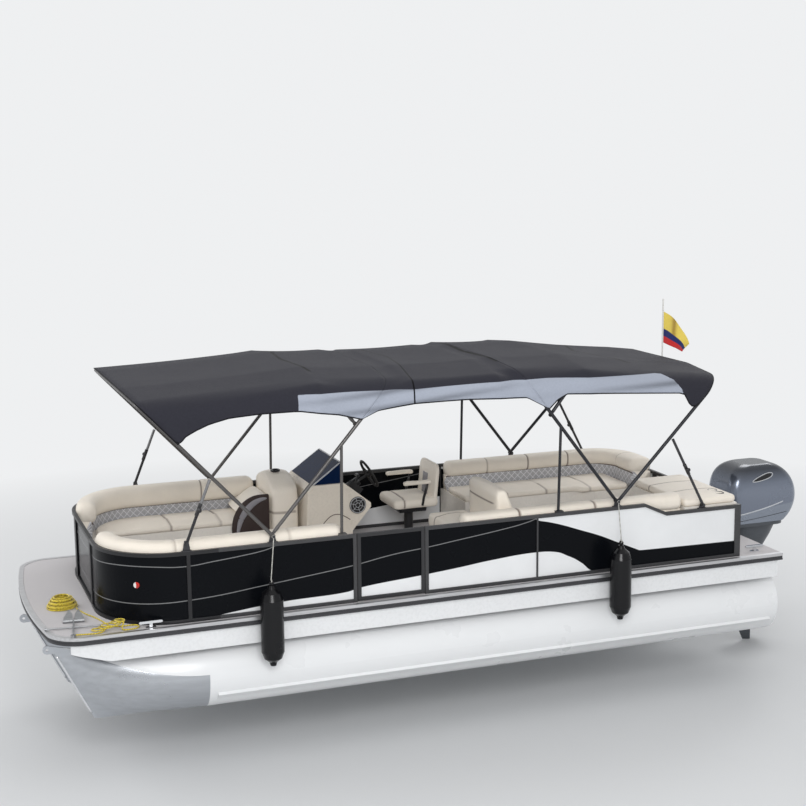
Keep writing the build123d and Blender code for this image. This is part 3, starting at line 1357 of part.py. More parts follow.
# Cleats: (X, Y)
BOW_CLEAT_Y = HALF_BEAM - 73.0
STERN_CLEAT_Y = HALF_BEAM - 175.0
CLEATS = [(2800.0, BOW_CLEAT_Y), (2800.0, -BOW_CLEAT_Y), (-3180.0, STERN_CLEAT_Y), (-3180.0, -STERN_CLEAT_Y)]
with BuildPart() as cleats:
    for cleat_x, cleat_y in CLEATS:
        with BuildSketch(Plane.XY.offset(DECK_TOP)):
            with Locations((cleat_x, cleat_y)):
                RectangleRounded(90, 40, 12)
        extrude(amount=8)
        with BuildSketch(Plane.XZ.offset(-cleat_y - 12)):
            with Locations((cleat_x, DECK_TOP + 24)):
                Rectangle(26, 40)
            with Locations((cleat_x, DECK_TOP + 50)):
                SlotOverall(200, 22)
        extrude(amount=24)
export(cleats.part, "cleats")

# Flag staff clamped behind the crossing of the rear end bow
STAFF_RADIUS = 8.0
STAFF_LONG = 620.0
rear_crossing = along(REAR_PIVOT, REAR_END_LEAN, REAR_END_HIGH)
staff_x = rear_crossing[0] - 42
STAFF_Y = 30.0
with BuildPart() as flag_staff:
    with BuildSketch(Plane.XZ.offset(-STAFF_Y - 16)):
        with Locations((rear_crossing[0] - 30, rear_crossing[1] - 8)):
            Rectangle(48, 20)
        with Locations(rear_crossing):
            Circle(BOW_TUBE / 2, mode=Mode.SUBTRACT)
    extrude(amount=32)
    with BuildSketch(Plane.XY.offset(rear_crossing[1] - 16)):
        with Locations((staff_x, STAFF_Y)):
            Circle(STAFF_RADIUS)
    extrude(amount=STAFF_LONG)
export(flag_staff.part, "flag_staff")

# Flag bent to the staff, its lower corner blown aft
FLAG_THICK = 3.0
FLAG_LONG = 300.0
flag_x = staff_x - STAFF_RADIUS - CLOTH_GAP
flag_z = rear_crossing[1] + STAFF_LONG - 145
with BuildPart() as flag:
    with BuildSketch(Plane.XZ.offset(-STAFF_Y - FLAG_THICK / 2)):
        with BuildLine():
            Polyline(
                (flag_x, flag_z),
                (flag_x, flag_z - 320),
                (flag_x - FLAG_LONG * 0.8, flag_z - 430),
                (flag_x - FLAG_LONG, flag_z - 350),
                (flag_x - FLAG_LONG * 0.6, flag_z - 110),
                close=True,
            )
        make_face()
    extrude(amount=FLAG_THICK)
export(flag.part, "flag")

# Fenders hung against the rub rail from the sun top's lower pins: (X, pivot)
FENDER_RADIUS = 100.0
FENDER_LOW = 170.0
FENDER_HIGH = 880.0
FENDER_Y = HALF_BEAM + CLOTH_GAP + FENDER_RADIUS
FENDER_EYE = 22.0
FENDERS = [(1795.0, FRONT_PIVOT), (-1550.0, REAR_PIVOT)]
fender_eye_z = FENDER_HIGH + 25
with BuildPart() as fenders:
    for fender_x, pivot in FENDERS:
        with BuildSketch(Plane.XZ.offset(-FENDER_Y)):
            with BuildLine():
                Polyline(
                    (fender_x, FENDER_LOW),
                    (fender_x + 26, FENDER_LOW),
                    (fender_x + 34, FENDER_LOW + 30),
                    (fender_x + 78, FENDER_LOW + 66),
                    (fender_x + FENDER_RADIUS, FENDER_LOW + 125),
                    (fender_x + FENDER_RADIUS, FENDER_HIGH - 125),
                    (fender_x + 78, FENDER_HIGH - 66),
                    (fender_x + 34, FENDER_HIGH - 30),
                    (fender_x + 26, FENDER_HIGH),
                    (fender_x, FENDER_HIGH),
                    close=True,
                )
            make_face()
        revolve(axis=Axis((fender_x, FENDER_Y, 0), (0, 0, 1)), revolution_arc=360)
        with BuildSketch(Plane.XZ.offset(-FENDER_Y - 6)):
            with Locations((fender_x, fender_eye_z - 5)):
                Circle(FENDER_EYE)
            with Locations((fender_x, fender_eye_z)):
                Circle(7, mode=Mode.SUBTRACT)
        extrude(amount=12)
export(fenders.part, "fenders")

# Fender lines: a loop through the eye, a tight line, and a tailed ring on the pin
LINE_RADIUS = 4.5
LOOP_RADIUS = 15.0
RING_THICK = 5.2
TAIL_LONG = 36.0
ring_y = PIN_OUT - 0.4 - RING_THICK / 2
with BuildPart() as fender_lines:
    for fender_x, pivot in FENDERS:
        with BuildSketch(Plane.XZ.offset(-ring_y - RING_THICK / 2)):
            with Locations((pivot[0], pivot[1] - TAIL_LONG / 2)):
                Rectangle(10, TAIL_LONG)
            with Locations(pivot):
                Circle(13)
                Circle(PIN_RADIUS + CLOTH_GAP, mode=Mode.SUBTRACT)
        extrude(amount=RING_THICK)
        loop_z = fender_eye_z + LOOP_RADIUS
        with BuildSketch(Plane.XY.offset(loop_z)):
            with Locations((fender_x, FENDER_Y + LOOP_RADIUS)):
                Circle(LINE_RADIUS)
        revolve(axis=Axis((fender_x, FENDER_Y, loop_z), (1, 0, 0)), revolution_arc=360)
        low = Vector(fender_x, FENDER_Y, loop_z + LOOP_RADIUS - 1)
        high = Vector(pivot[0], ring_y, pivot[1] - TAIL_LONG + 2)
        with BuildSketch(Plane(origin=low, z_dir=high - low)):
            Circle(LINE_RADIUS)
        extrude(amount=(high - low).length)
export(fender_lines.part, "fender_lines")

# Anchor on the port bow corner: crown tube, two flukes, shank, stock rod and ring
ANCHOR_X = 3388.0
ANCHOR_Y = HALF_BEAM - 447.0
ANCHOR_TURN = -8.35
CROWN_RADIUS = 16.0
CROWN_HALF = 90.0
SHANK_LONG = 390.0
SHANK_THICK = 12.0
SHANK_HIGH = 24.0
STOCK_RADIUS = 7.0
STOCK_HALF = 235.0
STOCK_AT = 175.0
FLUKE_RISE = 10.0
ANCHOR_RING = 18.0
ANCHOR_WIRE = 5.0
turn = math.radians(ANCHOR_TURN)
rise = math.radians(FLUKE_RISE)
across = Vector(math.cos(turn), math.sin(turn), 0)
along_shank = Vector(-math.sin(turn), math.cos(turn), 0)
upward = Vector(0, 0, 1)
crown = Vector(ANCHOR_X, ANCHOR_Y, DECK_TOP + CROWN_RADIUS + CLOTH_GAP)
hole_at = SHANK_LONG - 12
with BuildPart() as anchor:
    with BuildSketch(Plane(origin=crown - upward * SHANK_HIGH / 2, x_dir=across, z_dir=upward)):
        with Locations((0, SHANK_LONG / 2)):
            Rectangle(SHANK_THICK, SHANK_LONG)
    extrude(amount=SHANK_HIGH)
    with BuildSketch(Plane(origin=crown - across * CROWN_HALF, z_dir=across)):
        Circle(CROWN_RADIUS)
    extrude(amount=2 * CROWN_HALF)
    stock_start = crown + along_shank * STOCK_AT - across * STOCK_HALF
    with BuildSketch(Plane(origin=stock_start, z_dir=across)):
        Circle(STOCK_RADIUS)
    extrude(amount=2 * STOCK_HALF)
    for end in (stock_start, stock_start + across * (2 * STOCK_HALF - 14)):
        with BuildSketch(Plane(origin=end, z_dir=across)):
            Circle(STOCK_RADIUS + 4)
        extrude(amount=14)
    fluke_up = along_shank * math.sin(rise) + upward * math.cos(rise)
    with BuildSketch(Plane(origin=crown - fluke_up * 3, x_dir=across, z_dir=fluke_up)):
        for way in (1, -1):
            with BuildLine():
                Polyline(
                    (way * 10, 0),
                    (way * 84, 0),
                    (way * 84, -60),
                    (way * 40, -215),
                    (way * 10, -120),
                    close=True,
                )
            make_face()
    extrude(amount=6)
    hole = crown + along_shank * hole_at
    with BuildSketch(Plane(origin=hole - across * SHANK_THICK, z_dir=across)):
        Circle(ANCHOR_WIRE + 2)
    extrude(amount=2 * SHANK_THICK, mode=Mode.SUBTRACT)
    ring_centre = hole + along_shank * ANCHOR_RING
    with BuildSketch(Plane(origin=ring_centre, x_dir=across, z_dir=along_shank)):
        with Locations((ANCHOR_RING, 0)):
            Circle(ANCHOR_WIRE)
    revolve(axis=Axis(tuple(ring_centre), (0, 0, 1)), revolution_arc=360)
export(anchor.part, "anchor")

# Anchor rope: from the ring aft along the rail, back round the bow corner to its heap
ROPE_RADIUS = 6.0
ROPE_POINTS = [
    (3423.5, 1231.0, 596.3),
    (3385.0, 1216.0, 589.0),
    (3312.0, 1222.0, 587.0),
    (3230.0, 1215.0, 587.0),
    (3140.0, 1213.0, 587.0),
    (3052.0, 1222.0, 587.0),
    (2968.0, 1227.0, 587.0),
    (2912.0, 1212.0, 587.0),
    (2885.0, 1168.0, 587.0),
    (2905.0, 1124.0, 587.0),
    (2958.0, 1112.0, 587.0),
    (3040.0, 1118.0, 587.0),
    (3104.0, 1088.0, 587.0),
    (3136.0, 1030.0, 587.0),
    (3148.0, 955.0, 587.0),
    (3170.0, 880.0, 587.0),
    (3196.0, 806.0, 587.0),
    (3224.0, 738.0, 587.0),
    (3256.0, 676.0, 587.0),
    (3290.0, 616.0, 587.0),
    (3328.5, 557.0, 587.0),
    (3356.0, 503.6, 587.0),
]


# Largest arc that each corner of a cord's route allows
def route_radii(points):
    radii = []
    for before, corner, after in zip(points, points[1:], points[2:]):
        arriving = Vector(*corner) - Vector(*before)
        leaving = Vector(*after) - Vector(*corner)
        half_turn = math.radians(arriving.get_angle(leaving)) / 2
        radii.append(0.45 * min(arriving.length, leaving.length) / math.tan(half_turn))
    return radii


rope_radii = route_radii(ROPE_POINTS)
with BuildPart() as anchor_rope:
    with BuildLine() as rope_path:
        FilletPolyline(ROPE_POINTS, radius=rope_radii)
    rope_wire = rope_path.wires()[0]
    with BuildSketch(Plane(origin=rope_wire @ 0, z_dir=rope_wire % 0)):
        Circle(ROPE_RADIUS)
    sweep(path=rope_wire)
export(anchor_rope.part, "anchor_rope")

# Rope heap: two low mounds, (X, Y, outer radius, height)
HEAP_MOUNDS = [(3425.0, 370.0, 150.0, 110.0), (3545.0, 300.0, 70.0, 58.0)]
with BuildPart() as rope_heap:
    for heap_x, heap_y, radius, high in HEAP_MOUNDS:
        floor_z = DECK_TOP + CLOTH_GAP
        with BuildSketch(Plane.XZ.offset(-heap_y)):
            with BuildLine():
                Polyline(
                    (heap_x, floor_z),
                    (heap_x + radius, floor_z),
                    (heap_x + radius, floor_z + high * 0.3),
                    (heap_x + radius * 0.86, floor_z + high * 0.62),
                    (heap_x + radius * 0.55, floor_z + high * 0.9),
                    (heap_x, floor_z + high),
                    close=True,
                )
            make_face()
        revolve(axis=Axis((heap_x, heap_y, 0), (0, 0, 1)), revolution_arc=360)
export(rope_heap.part, "rope_heap")

# Bow light on the port corner panel
LIGHT_TURN = 56.0
LIGHT_Z = 925.0
LIGHT_RADIUS = 26.0
light_out = Vector(math.cos(math.radians(LIGHT_TURN)), math.sin(math.radians(LIGHT_TURN)), 0)
corner_centre = Vector(FENCE_CORNER_X, FENCE_HALF - FENCE_CORNER, LIGHT_Z)
light_foot = corner_centre + light_out * (FENCE_CORNER - PANEL_INSET)
with BuildPart() as bow_light:
    with BuildSketch(Plane(origin=light_foot, z_dir=light_out)):
        Circle(LIGHT_RADIUS)
    extrude(amount=10)
    with BuildSketch(Plane(origin=light_foot + light_out * 10, z_dir=light_out)):
        Circle(LIGHT_RADIUS - 5)
    extrude(amount=14, taper=18)
export(bow_light.part, "bow_light")
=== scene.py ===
import math

import bmesh
import bpy
import numpy as np
from mathutils import Matrix, Vector


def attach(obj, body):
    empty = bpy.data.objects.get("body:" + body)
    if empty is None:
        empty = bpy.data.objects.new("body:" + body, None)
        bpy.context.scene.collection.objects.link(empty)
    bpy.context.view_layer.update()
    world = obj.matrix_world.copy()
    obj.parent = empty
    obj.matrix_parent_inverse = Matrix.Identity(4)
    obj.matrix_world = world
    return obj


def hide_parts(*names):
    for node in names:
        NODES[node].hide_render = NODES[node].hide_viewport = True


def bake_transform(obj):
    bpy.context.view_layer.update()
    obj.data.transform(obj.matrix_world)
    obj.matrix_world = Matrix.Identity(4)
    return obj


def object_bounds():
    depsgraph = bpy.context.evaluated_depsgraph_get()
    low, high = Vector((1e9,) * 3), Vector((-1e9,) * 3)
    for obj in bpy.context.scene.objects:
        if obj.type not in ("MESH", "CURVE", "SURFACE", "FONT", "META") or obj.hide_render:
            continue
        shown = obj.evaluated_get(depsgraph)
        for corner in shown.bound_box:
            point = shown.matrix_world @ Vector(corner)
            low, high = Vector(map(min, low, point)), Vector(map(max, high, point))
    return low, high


bl_info = {
    "name": "Pontoon boat dressing",
    "version": (1, 0, 0),
    "blender": (4, 5, 0),
    "location": "3D View > Sidebar > Pontoon",
    "description": "Dresses the pontoon boat: cushions, canopies, ropes, fittings, finishes and stage",
    "category": "Object",
}

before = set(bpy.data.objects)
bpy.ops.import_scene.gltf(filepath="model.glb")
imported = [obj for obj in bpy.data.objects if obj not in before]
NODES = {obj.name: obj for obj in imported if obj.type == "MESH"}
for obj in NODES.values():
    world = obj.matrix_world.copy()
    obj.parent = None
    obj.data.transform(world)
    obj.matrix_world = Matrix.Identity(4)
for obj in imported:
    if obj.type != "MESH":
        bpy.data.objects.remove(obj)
CAD_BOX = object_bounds()
HULL = "hull"
SIDES = (("port", 1), ("starboard", -1))
X, Y, Z = 0, 1, 2
FULL_TURN = 2 * math.pi
# Finishes by key
MATERIALS = {}

# Fence plan, in metres
FENCE_HALF = 1.220
CORNER = 0.644
CORNER_X = 2.530
CORNER_Y = FENCE_HALF - CORNER

# Benches: heights of a cushion's foot and top, how far its two long edges lie from the centreline, and the
# radius of the piping
SEAT_BASE = 0.935
SEAT_TOP = 1.008
BENCH_INNER = 0.488
BENCH_OUTER = 1.004
PIPING = 0.006

# Sun top pivots (X, Z)
FRONT_PIVOT = (1.722, 1.260)
REAR_PIVOT = (-1.606, 1.252)


# Mesh helpers

def grid_faces(rows, columns, close_rows=False, close_columns=False):
    """Quads of a grid of points, row by row, wrapped round where a direction closes."""
    last_row = rows if close_rows else rows - 1
    last_column = columns if close_columns else columns - 1
    i, j = np.meshgrid(np.arange(last_row), np.arange(last_column), indexing="ij")
    i2, j2 = (i + 1) % rows, (j + 1) % columns
    corners = [i * columns + j, i2 * columns + j, i2 * columns + j2, i * columns + j2]
    return np.stack([c.ravel() for c in corners], axis=1)


def make_mesh(name, points, quads, uv=None, marks=None, caps=()):
    """Object with these points and quads. Caps are closed rings of point numbers, each filled by a fan to its
    middle. Marks are values that the points carry by name."""
    points = np.asarray(points, float).reshape(-1, 3)
    faces = [tuple(q) for q in np.asarray(quads).tolist()]
    extra = []
    for ring in caps:
        middle = len(points) + len(extra)
        extra.append(points[ring].mean(axis=0))
        faces += [(int(a), int(b), middle) for a, b in zip(ring, np.roll(ring, -1))]
    if extra:
        points = np.vstack([points, extra])
    mesh = bpy.data.meshes.new(name)
    mesh.from_pydata(points.tolist(), [], faces)
    mesh.polygons.foreach_set("use_smooth", np.ones(len(mesh.polygons), bool))
    for key, values in (marks or {}).items():
        values = np.concatenate([np.ravel(values), np.zeros(len(extra))])
        layer = mesh.attributes.new(key, "FLOAT", "POINT")
        layer.data.foreach_set("value", values.astype(np.float32))
    if uv is not None:
        uv = np.vstack([np.asarray(uv, float).reshape(-1, 2), np.zeros((len(extra), 2))])
        loops = np.zeros(len(mesh.loops), np.int32)
        mesh.loops.foreach_get("vertex_index", loops)
        layer = mesh.uv_layers.new(name="flat")
        layer.data.foreach_set("uv", uv[loops].astype(np.float32).ravel())
    mesh.update()
    made = bpy.data.objects.new(name, mesh)
    bpy.context.scene.collection.objects.link(made)
    return made


def outward(made, merge=0.0, collapse=0.0):
    """Turns every face of a closed piece outwards, after doubled points are merged and slivers collapsed."""
    solid = bmesh.new()
    solid.from_mesh(made.data)
    if merge:
        bmesh.ops.remove_doubles(solid, verts=solid.verts, dist=merge)
    if collapse:
        bmesh.ops.dissolve_degenerate(solid, edges=solid.edges, dist=collapse)
    bmesh.ops.recalc_face_normals(solid, faces=solid.faces)
    solid.to_mesh(made.data)
    solid.free()
    made.data.polygons.foreach_set("use_smooth", np.ones(len(made.data.polygons), bool))
    return made


def lofted(name, rings, uv=None, marks=None, closed=False):
    """Closed piece from rings of points, a ring to each row: quads between neighbouring rings, and a fan over
    each end ring unless the last ring joins the first."""
    rings = np.asarray(rings, float)
    rows, count = rings.shape[:2]
    numbers = np.arange(rows * count).reshape(rows, count)
    faces = grid_faces(rows, count, close_rows=closed, close_columns=True)
    return outward(make_mesh(name, rings, faces, uv, marks, () if closed else (numbers[0], numbers[-1])))


def two_sided(name, grid, thick, marks):
    """Thin closed sheet from a grid of points: a face on each side, half the thickness off the grid, and a
    rim."""
    rows, columns = grid.shape[:2]
    size = rows * columns
    normal = np.cross(np.gradient(grid, axis=0), np.gradient(grid, axis=1))
    normal *= thick / 2 / np.linalg.norm(normal, axis=2)[:, :, None]
    points = np.stack([grid + normal, grid - normal])
    number = np.arange(size).reshape(rows, columns)
    border = np.concatenate([number[0, :], number[1:, -1], number[-1, -2::-1], number[-2:0:-1, 0]])
    following = np.roll(border, -1)
    rim = np.stack([border, following, following + size, border + size], axis=1)
    top = grid_faces(rows, columns)
    both = {}
    for key, values in marks.items():
        both[key] = np.tile(np.broadcast_to(values, (rows, columns)).ravel(), 2)
    return outward(make_mesh(name, points, np.concatenate([top, top[:, ::-1] + size, rim]), None, both))


def cloth_area(grid):
    """Area of a grid of points, each cell taken as a parallelogram."""
    corner = grid[:-1, :-1]
    return np.linalg.norm(np.cross(grid[1:, :-1] - corner, grid[:-1, 1:] - corner), axis=2).sum()


def run_length(points):
    """Length from the first point to each point of a line."""
    return np.r_[0, np.cumsum(np.linalg.norm(np.diff(points, axis=0), axis=1))]


def settle(made, body, look):
    """Gives a piece its material and its body. A piece that bends between two bodies gets no body here."""
    made.data.materials.clear()
    made.data.materials.append(MATERIALS[look])
    if body:
        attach(made, body)
    return made


def upholster(made, body, look, replaced=()):
    """Gives a padded piece its vinyl and its body, and declares its fill."""
    settle(made, body, look)
    if replaced:
        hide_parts(*replaced)
    return made


def fence_path(inset, aft_x, inner_y, count, side):
    """Lengths, points and inward directions by even steps along the fence line: straight side, quarter arc,
    straight front."""
    radius = CORNER - inset
    straight, arc = CORNER_X - aft_x, radius * math.pi / 2
    across = max(CORNER_Y - inner_y, 0.0)
    s = np.linspace(0.0, straight + arc + across, count)
    turn = np.clip((s - straight) / radius, 0.0, math.pi / 2)
    x = np.where(s < straight, aft_x + s, CORNER_X + radius * np.sin(turn))
    y = np.where(s < straight, FENCE_HALF - inset, CORNER_Y + radius * np.cos(turn))
    y = y - np.maximum(s - straight - arc, 0.0)
    inward = np.stack([-np.sin(turn), -np.cos(turn) * side], axis=1)
    return s, np.stack([x, y * side], axis=1), inward


# Points round a roll's section and round a cushion, and rows of a cushion's underside, side and top
ROLL_PROFILE = 40
PAD_PROFILE = 220
PAD_ROWS = (4, 13, 15)


def squared(value, power):
    """A cosine or sine raised to a power, with its sign kept: this squares up a circle."""
    return np.sign(value) * np.abs(value) ** power


def even_section(half_deep, half_high, power, count):
    """Superellipse outline by even steps from its outer side: depths and heights as shares, and the run."""
    t = math.pi + np.linspace(0, FULL_TURN, 2048)
    across, up = squared(np.cos(t), 2 / power), squared(np.sin(t), 2 / power)
    run = run_length(np.stack([across * half_deep, up * half_high], axis=1))
    even = np.linspace(0, run[-1], count, endpoint=False)
    return np.interp(even, run, across), np.interp(even, run, up), even


def roll(name, path, middle_z, deep, high, round_end=0.06, power=3.2, seams=()):
    """Superellipse section carried along a plan path of lengths, points and inward directions. Its size
    shrinks over round_end at both ends as a rounded cap, and pinches slightly at each seam. Seams are lengths
    along the path."""
    s, line, inward = path
    near_end = np.minimum(s, s[-1] - s)
    cap = (1 - np.clip(1 - near_end / round_end, 0, 1) ** 2.6) ** (1 / 2.6)
    pinch = np.zeros_like(s)
    for at in seams:
        pinch = np.maximum(pinch, np.exp(-((s - at) / 0.009) ** 2))
    size = np.maximum(cap, 0.02) * (1 - 0.09 * pinch)
    across, up, run = even_section(np.mean(deep) / 2, high / 2, power, ROLL_PROFILE)
    wave = 1 + 0.012 * np.sin(s * 17.0) * np.sin(s * 5.3 + 1.0)
    depth = (np.broadcast_to(deep, s.shape) / 2 * size)[:, None] * across[None, :] * wave[:, None]
    z = middle_z + high / 2 * size[:, None] * up[None, :]
    xy = line[:, None, :] + inward[:, None, :] * depth[:, :, None]
    rings = np.concatenate([xy, z[:, :, None]], axis=2)
    uv = np.stack([np.broadcast_to(s[:, None], depth.shape), np.broadcast_to(run, depth.shape)], axis=2)
    sewn = np.exp(-((pinch - 1) / 0.35) ** 2) * (pinch > 0.2)
    marks = {
        "seam": np.broadcast_to(sewn[:, None], depth.shape),
        "inner": np.broadcast_to((across > 0.75) * 1.0, depth.shape),
    }
    return lofted(name, rings, uv, marks)


def even_outline(corners, radius, count):
    """Closed outline through the corners, rounded, by even steps: the polygon is sampled finely and smoothed
    along its length."""
    closed = np.vstack([corners, corners[:1]]).astype(float)
    lengths = run_length(closed)
    fine = 2048
    s = np.linspace(0, lengths[-1], fine, endpoint=False)
    path = np.stack([np.interp(s, lengths, closed[:, k]) for k in (X, Y)], axis=1)
    width = max(radius * 0.55, 1e-4) / lengths[-1]
    spectrum = np.fft.fft(path, axis=0)
    wave = np.fft.fftfreq(fine, 1 / fine)
    smooth = np.real(np.fft.ifft(spectrum * np.exp(-2 * (math.pi * wave * width) ** 2)[:, None], axis=0))
    ring = np.vstack([smooth, smooth[:1]])
    run = run_length(ring)
    even = np.linspace(0, run[-1], count, endpoint=False)
    return np.stack([np.interp(even, run, ring[:, k]) for k in (X, Y)], axis=1)


def pad(name, corners, spine, low, high, crown=0.018, edge=0.035, radius=0.05, axes=None, channels=()):
    """Cushion over an outline. Rings run from a spine inside the outline to its edge: flat below, a rounded
    side, a crowned top. Channels are sewn lines (axis, place, depth), axis 0 or 1 of the outline. axes turns
    the outline's two directions and the height into the boat's."""
    outline = even_outline(corners, radius, PAD_PROFILE)
    start, end = np.asarray(spine, float)
    run = end - start
    share = np.clip(((outline - start) @ run) / max(run @ run, 1e-9), 0, 1)
    centre = start + share[:, None] * run
    reach = np.maximum(np.linalg.norm(outline - centre, axis=1), edge * 1.01)
    under, around, over = PAD_ROWS
    row = np.arange(sum(PAD_ROWS))[:, None]
    first_top = under + around
    arc = np.linspace(-math.pi / 2, math.pi / 2, around)
    ratio = np.r_[np.linspace(0, 1, under + 1)[:-1], np.ones(around), np.linspace(1, 0, over + 1)[1:]]
    inset = np.r_[np.zeros(under), edge * (1 - np.cos(arc) ** 0.6), np.zeros(over)]
    flat = 1 - edge / reach
    on_side = (row >= under) & (row < first_top)
    ring = np.where(on_side, 1 - inset[:, None] / reach, ratio[:, None] * flat)
    xy = centre + (outline - centre) * ring[:, :, None]
    rim = low + (high - crown - low) / 2 * (1 + np.sin(arc))
    height = np.r_[np.full(under, low), rim, np.zeros(over)]
    domed = high - crown + crown * (1 - np.minimum(ring / np.maximum(flat, 0.05), 1.0) ** 2.2)
    surface = np.where(row < first_top, height[:, None], domed)
    seam = np.zeros_like(surface)
    for axis, place, depth in channels:
        line = np.exp(-((xy[:, :, axis] - place) / 0.008) ** 2)
        surface -= depth * line * (row > 9)
        seam = np.maximum(seam, line * (row > 6))
    surface += 0.0018 * np.sin(xy[:, :, X] * 23 + 1.3) * np.sin(xy[:, :, Y] * 19) * (row >= first_top)
    points = np.concatenate([xy, surface[:, :, None]], axis=2)
    if axes is not None:
        points = points @ np.asarray(axes, float)
    uv = np.stack([xy[:, :, X], xy[:, :, Y] + surface], axis=2)
    faces = grid_faces(len(row), PAD_PROFILE, close_columns=True)
    return outward(make_mesh(name, points, faces, uv, {"seam": seam}), merge=1e-5, collapse=1e-6)


def tube(name, line, radius, sides=10, closed=False):
    """Round tube carried along a line of points, its section turned square to the run."""
    line = np.asarray(line, float)
    if closed:
        run = np.roll(line, -1, axis=0) - np.roll(line, 1, axis=0)
    else:
        run = np.gradient(line, axis=0)
    run /= np.linalg.norm(run, axis=1)[:, None]
    flat = np.where(np.abs(run[:, 2:3]) < 0.9, np.array([[0, 0, 1.0]]), np.array([[0, 1.0, 0]]))
    first = np.cross(run, flat)
    first /= np.linalg.norm(first, axis=1)[:, None]
    second = np.cross(run, first)
    t = np.linspace(0, FULL_TURN, sides, endpoint=False)[None, :, None]
    size = np.broadcast_to(np.asarray(radius, float), (len(line),))
    rings = line[:, None, :] + size[:, None, None] * (
        np.cos(t) * first[:, None, :] + np.sin(t) * second[:, None, :])
    return lofted(name, rings, closed=closed)


def turned(name, profile, origin, axis, count=40):
    """Profile of (radius, distance along the axis) spun about an axis from an origin. It starts and ends on
    the axis."""
    profile = np.asarray(profile, float)
    turn = np.array(Vector(axis).normalized().to_track_quat("Z", "Y").to_matrix())
    spin = circle((0, 0, 0), 1.0, (X, Y), count)
    points = profile[:, None, :1] * spin + profile[:, None, 1:] * np.array([0, 0, 1.0])
    points = points.reshape(-1, 3) @ turn.T + np.asarray(origin, float)
    made = make_mesh(name, points, grid_faces(len(profile), count, close_columns=True))
    return outward(made, merge=1e-6)


def circle(centre, radius, plane, count):
    """Ring of points round a centre, in the plane of two axes."""
    turn = np.linspace(0, FULL_TURN, count, endpoint=False)
    points = np.tile(np.asarray(centre, float), (count, 1))
    points[:, plane[0]] += radius * np.cos(turn)
    points[:, plane[1]] += radius * np.sin(turn)
    return points


# Shader helpers

def feed(tree, socket, value):
    """Links a node's output to a socket, or sets a plain value on it."""
    if isinstance(value, bpy.types.NodeSocket):
        tree.links.new(value, socket)
    else:
        socket.default_value = value


def node(tree, kind, links=None, **settings):
    """Adds a shader node. links gives an input a value or another node's output."""
    made = tree.nodes.new(kind)
    for key, value in settings.items():
        setattr(made, key, value)
    for key, value in (links or {}).items():
        feed(tree, made.inputs[key], value)
    return made


def maths(tree, operation, a, b=0.0, c=0.0, clamp=False):
    """One Math node's output."""
    return node(tree, "ShaderNodeMath", {0: a, 1: b, 2: c}, operation=operation, use_clamp=clamp).outputs[0]


def on_boat(tree):
    """Place on the boat, in metres."""
    return node(tree, "ShaderNodeTexCoord").outputs["Object"]


def parts(tree, vector=None):
    """X, Y and Z of a vector, or of the place on the boat."""
    return node(tree, "ShaderNodeSeparateXYZ", {0: on_boat(tree) if vector is None else vector}).outputs


def noise(tree, scale, detail, vector=None, roughness=0.5):
    """Noise from 0 to 1 over the boat, or over another vector."""
    return node(tree, "ShaderNodeTexNoise", {
        "Vector": on_boat(tree) if vector is None else vector, "Scale": scale, "Detail": detail,
        "Roughness": roughness}).outputs["Fac"]


def fitted(tree, value, start, end):
    """Share of the way from start to end, kept between 0 and 1."""
    return node(tree, "ShaderNodeMapRange", {"Value": value, 1: start, 2: end}).outputs[0]


def ranged(tree, value, low, high):
    """Maps a share from 0..1 to low..high."""
    return node(tree, "ShaderNodeMapRange", {"Value": value, 3: low, 4: high}).outputs[0]


def mark(tree, name):
    """Value that a piece's points carry under this name."""
    return node(tree, "ShaderNodeAttribute", attribute_name=name).outputs["Fac"]


GROUPS = {}


def group(name, inputs, outputs):
    """Starts a shared effect: its inputs with their defaults, and its outputs, which are values."""
    made = bpy.data.node_groups.new(name, "ShaderNodeTree")
    for label, value in inputs.items():
        kind = "NodeSocketVector" if isinstance(value, tuple) else "NodeSocketFloat"
        made.interface.new_socket(name=label, in_out="INPUT", socket_type=kind).default_value = value
    for label in outputs:
        made.interface.new_socket(name=label, in_out="OUTPUT", socket_type="NodeSocketFloat")
    GROUPS[name] = made
    return made, made.nodes.new("NodeGroupInput").outputs, made.nodes.new("NodeGroupOutput").inputs


def use(tree, name, **values):
    """Places a shared effect in a material and returns its outputs."""
    made = node(tree, "ShaderNodeGroup", node_tree=GROUPS[name])
    for key, value in values.items():
        feed(tree, made.inputs[key.capitalize()], value)
    return made.outputs


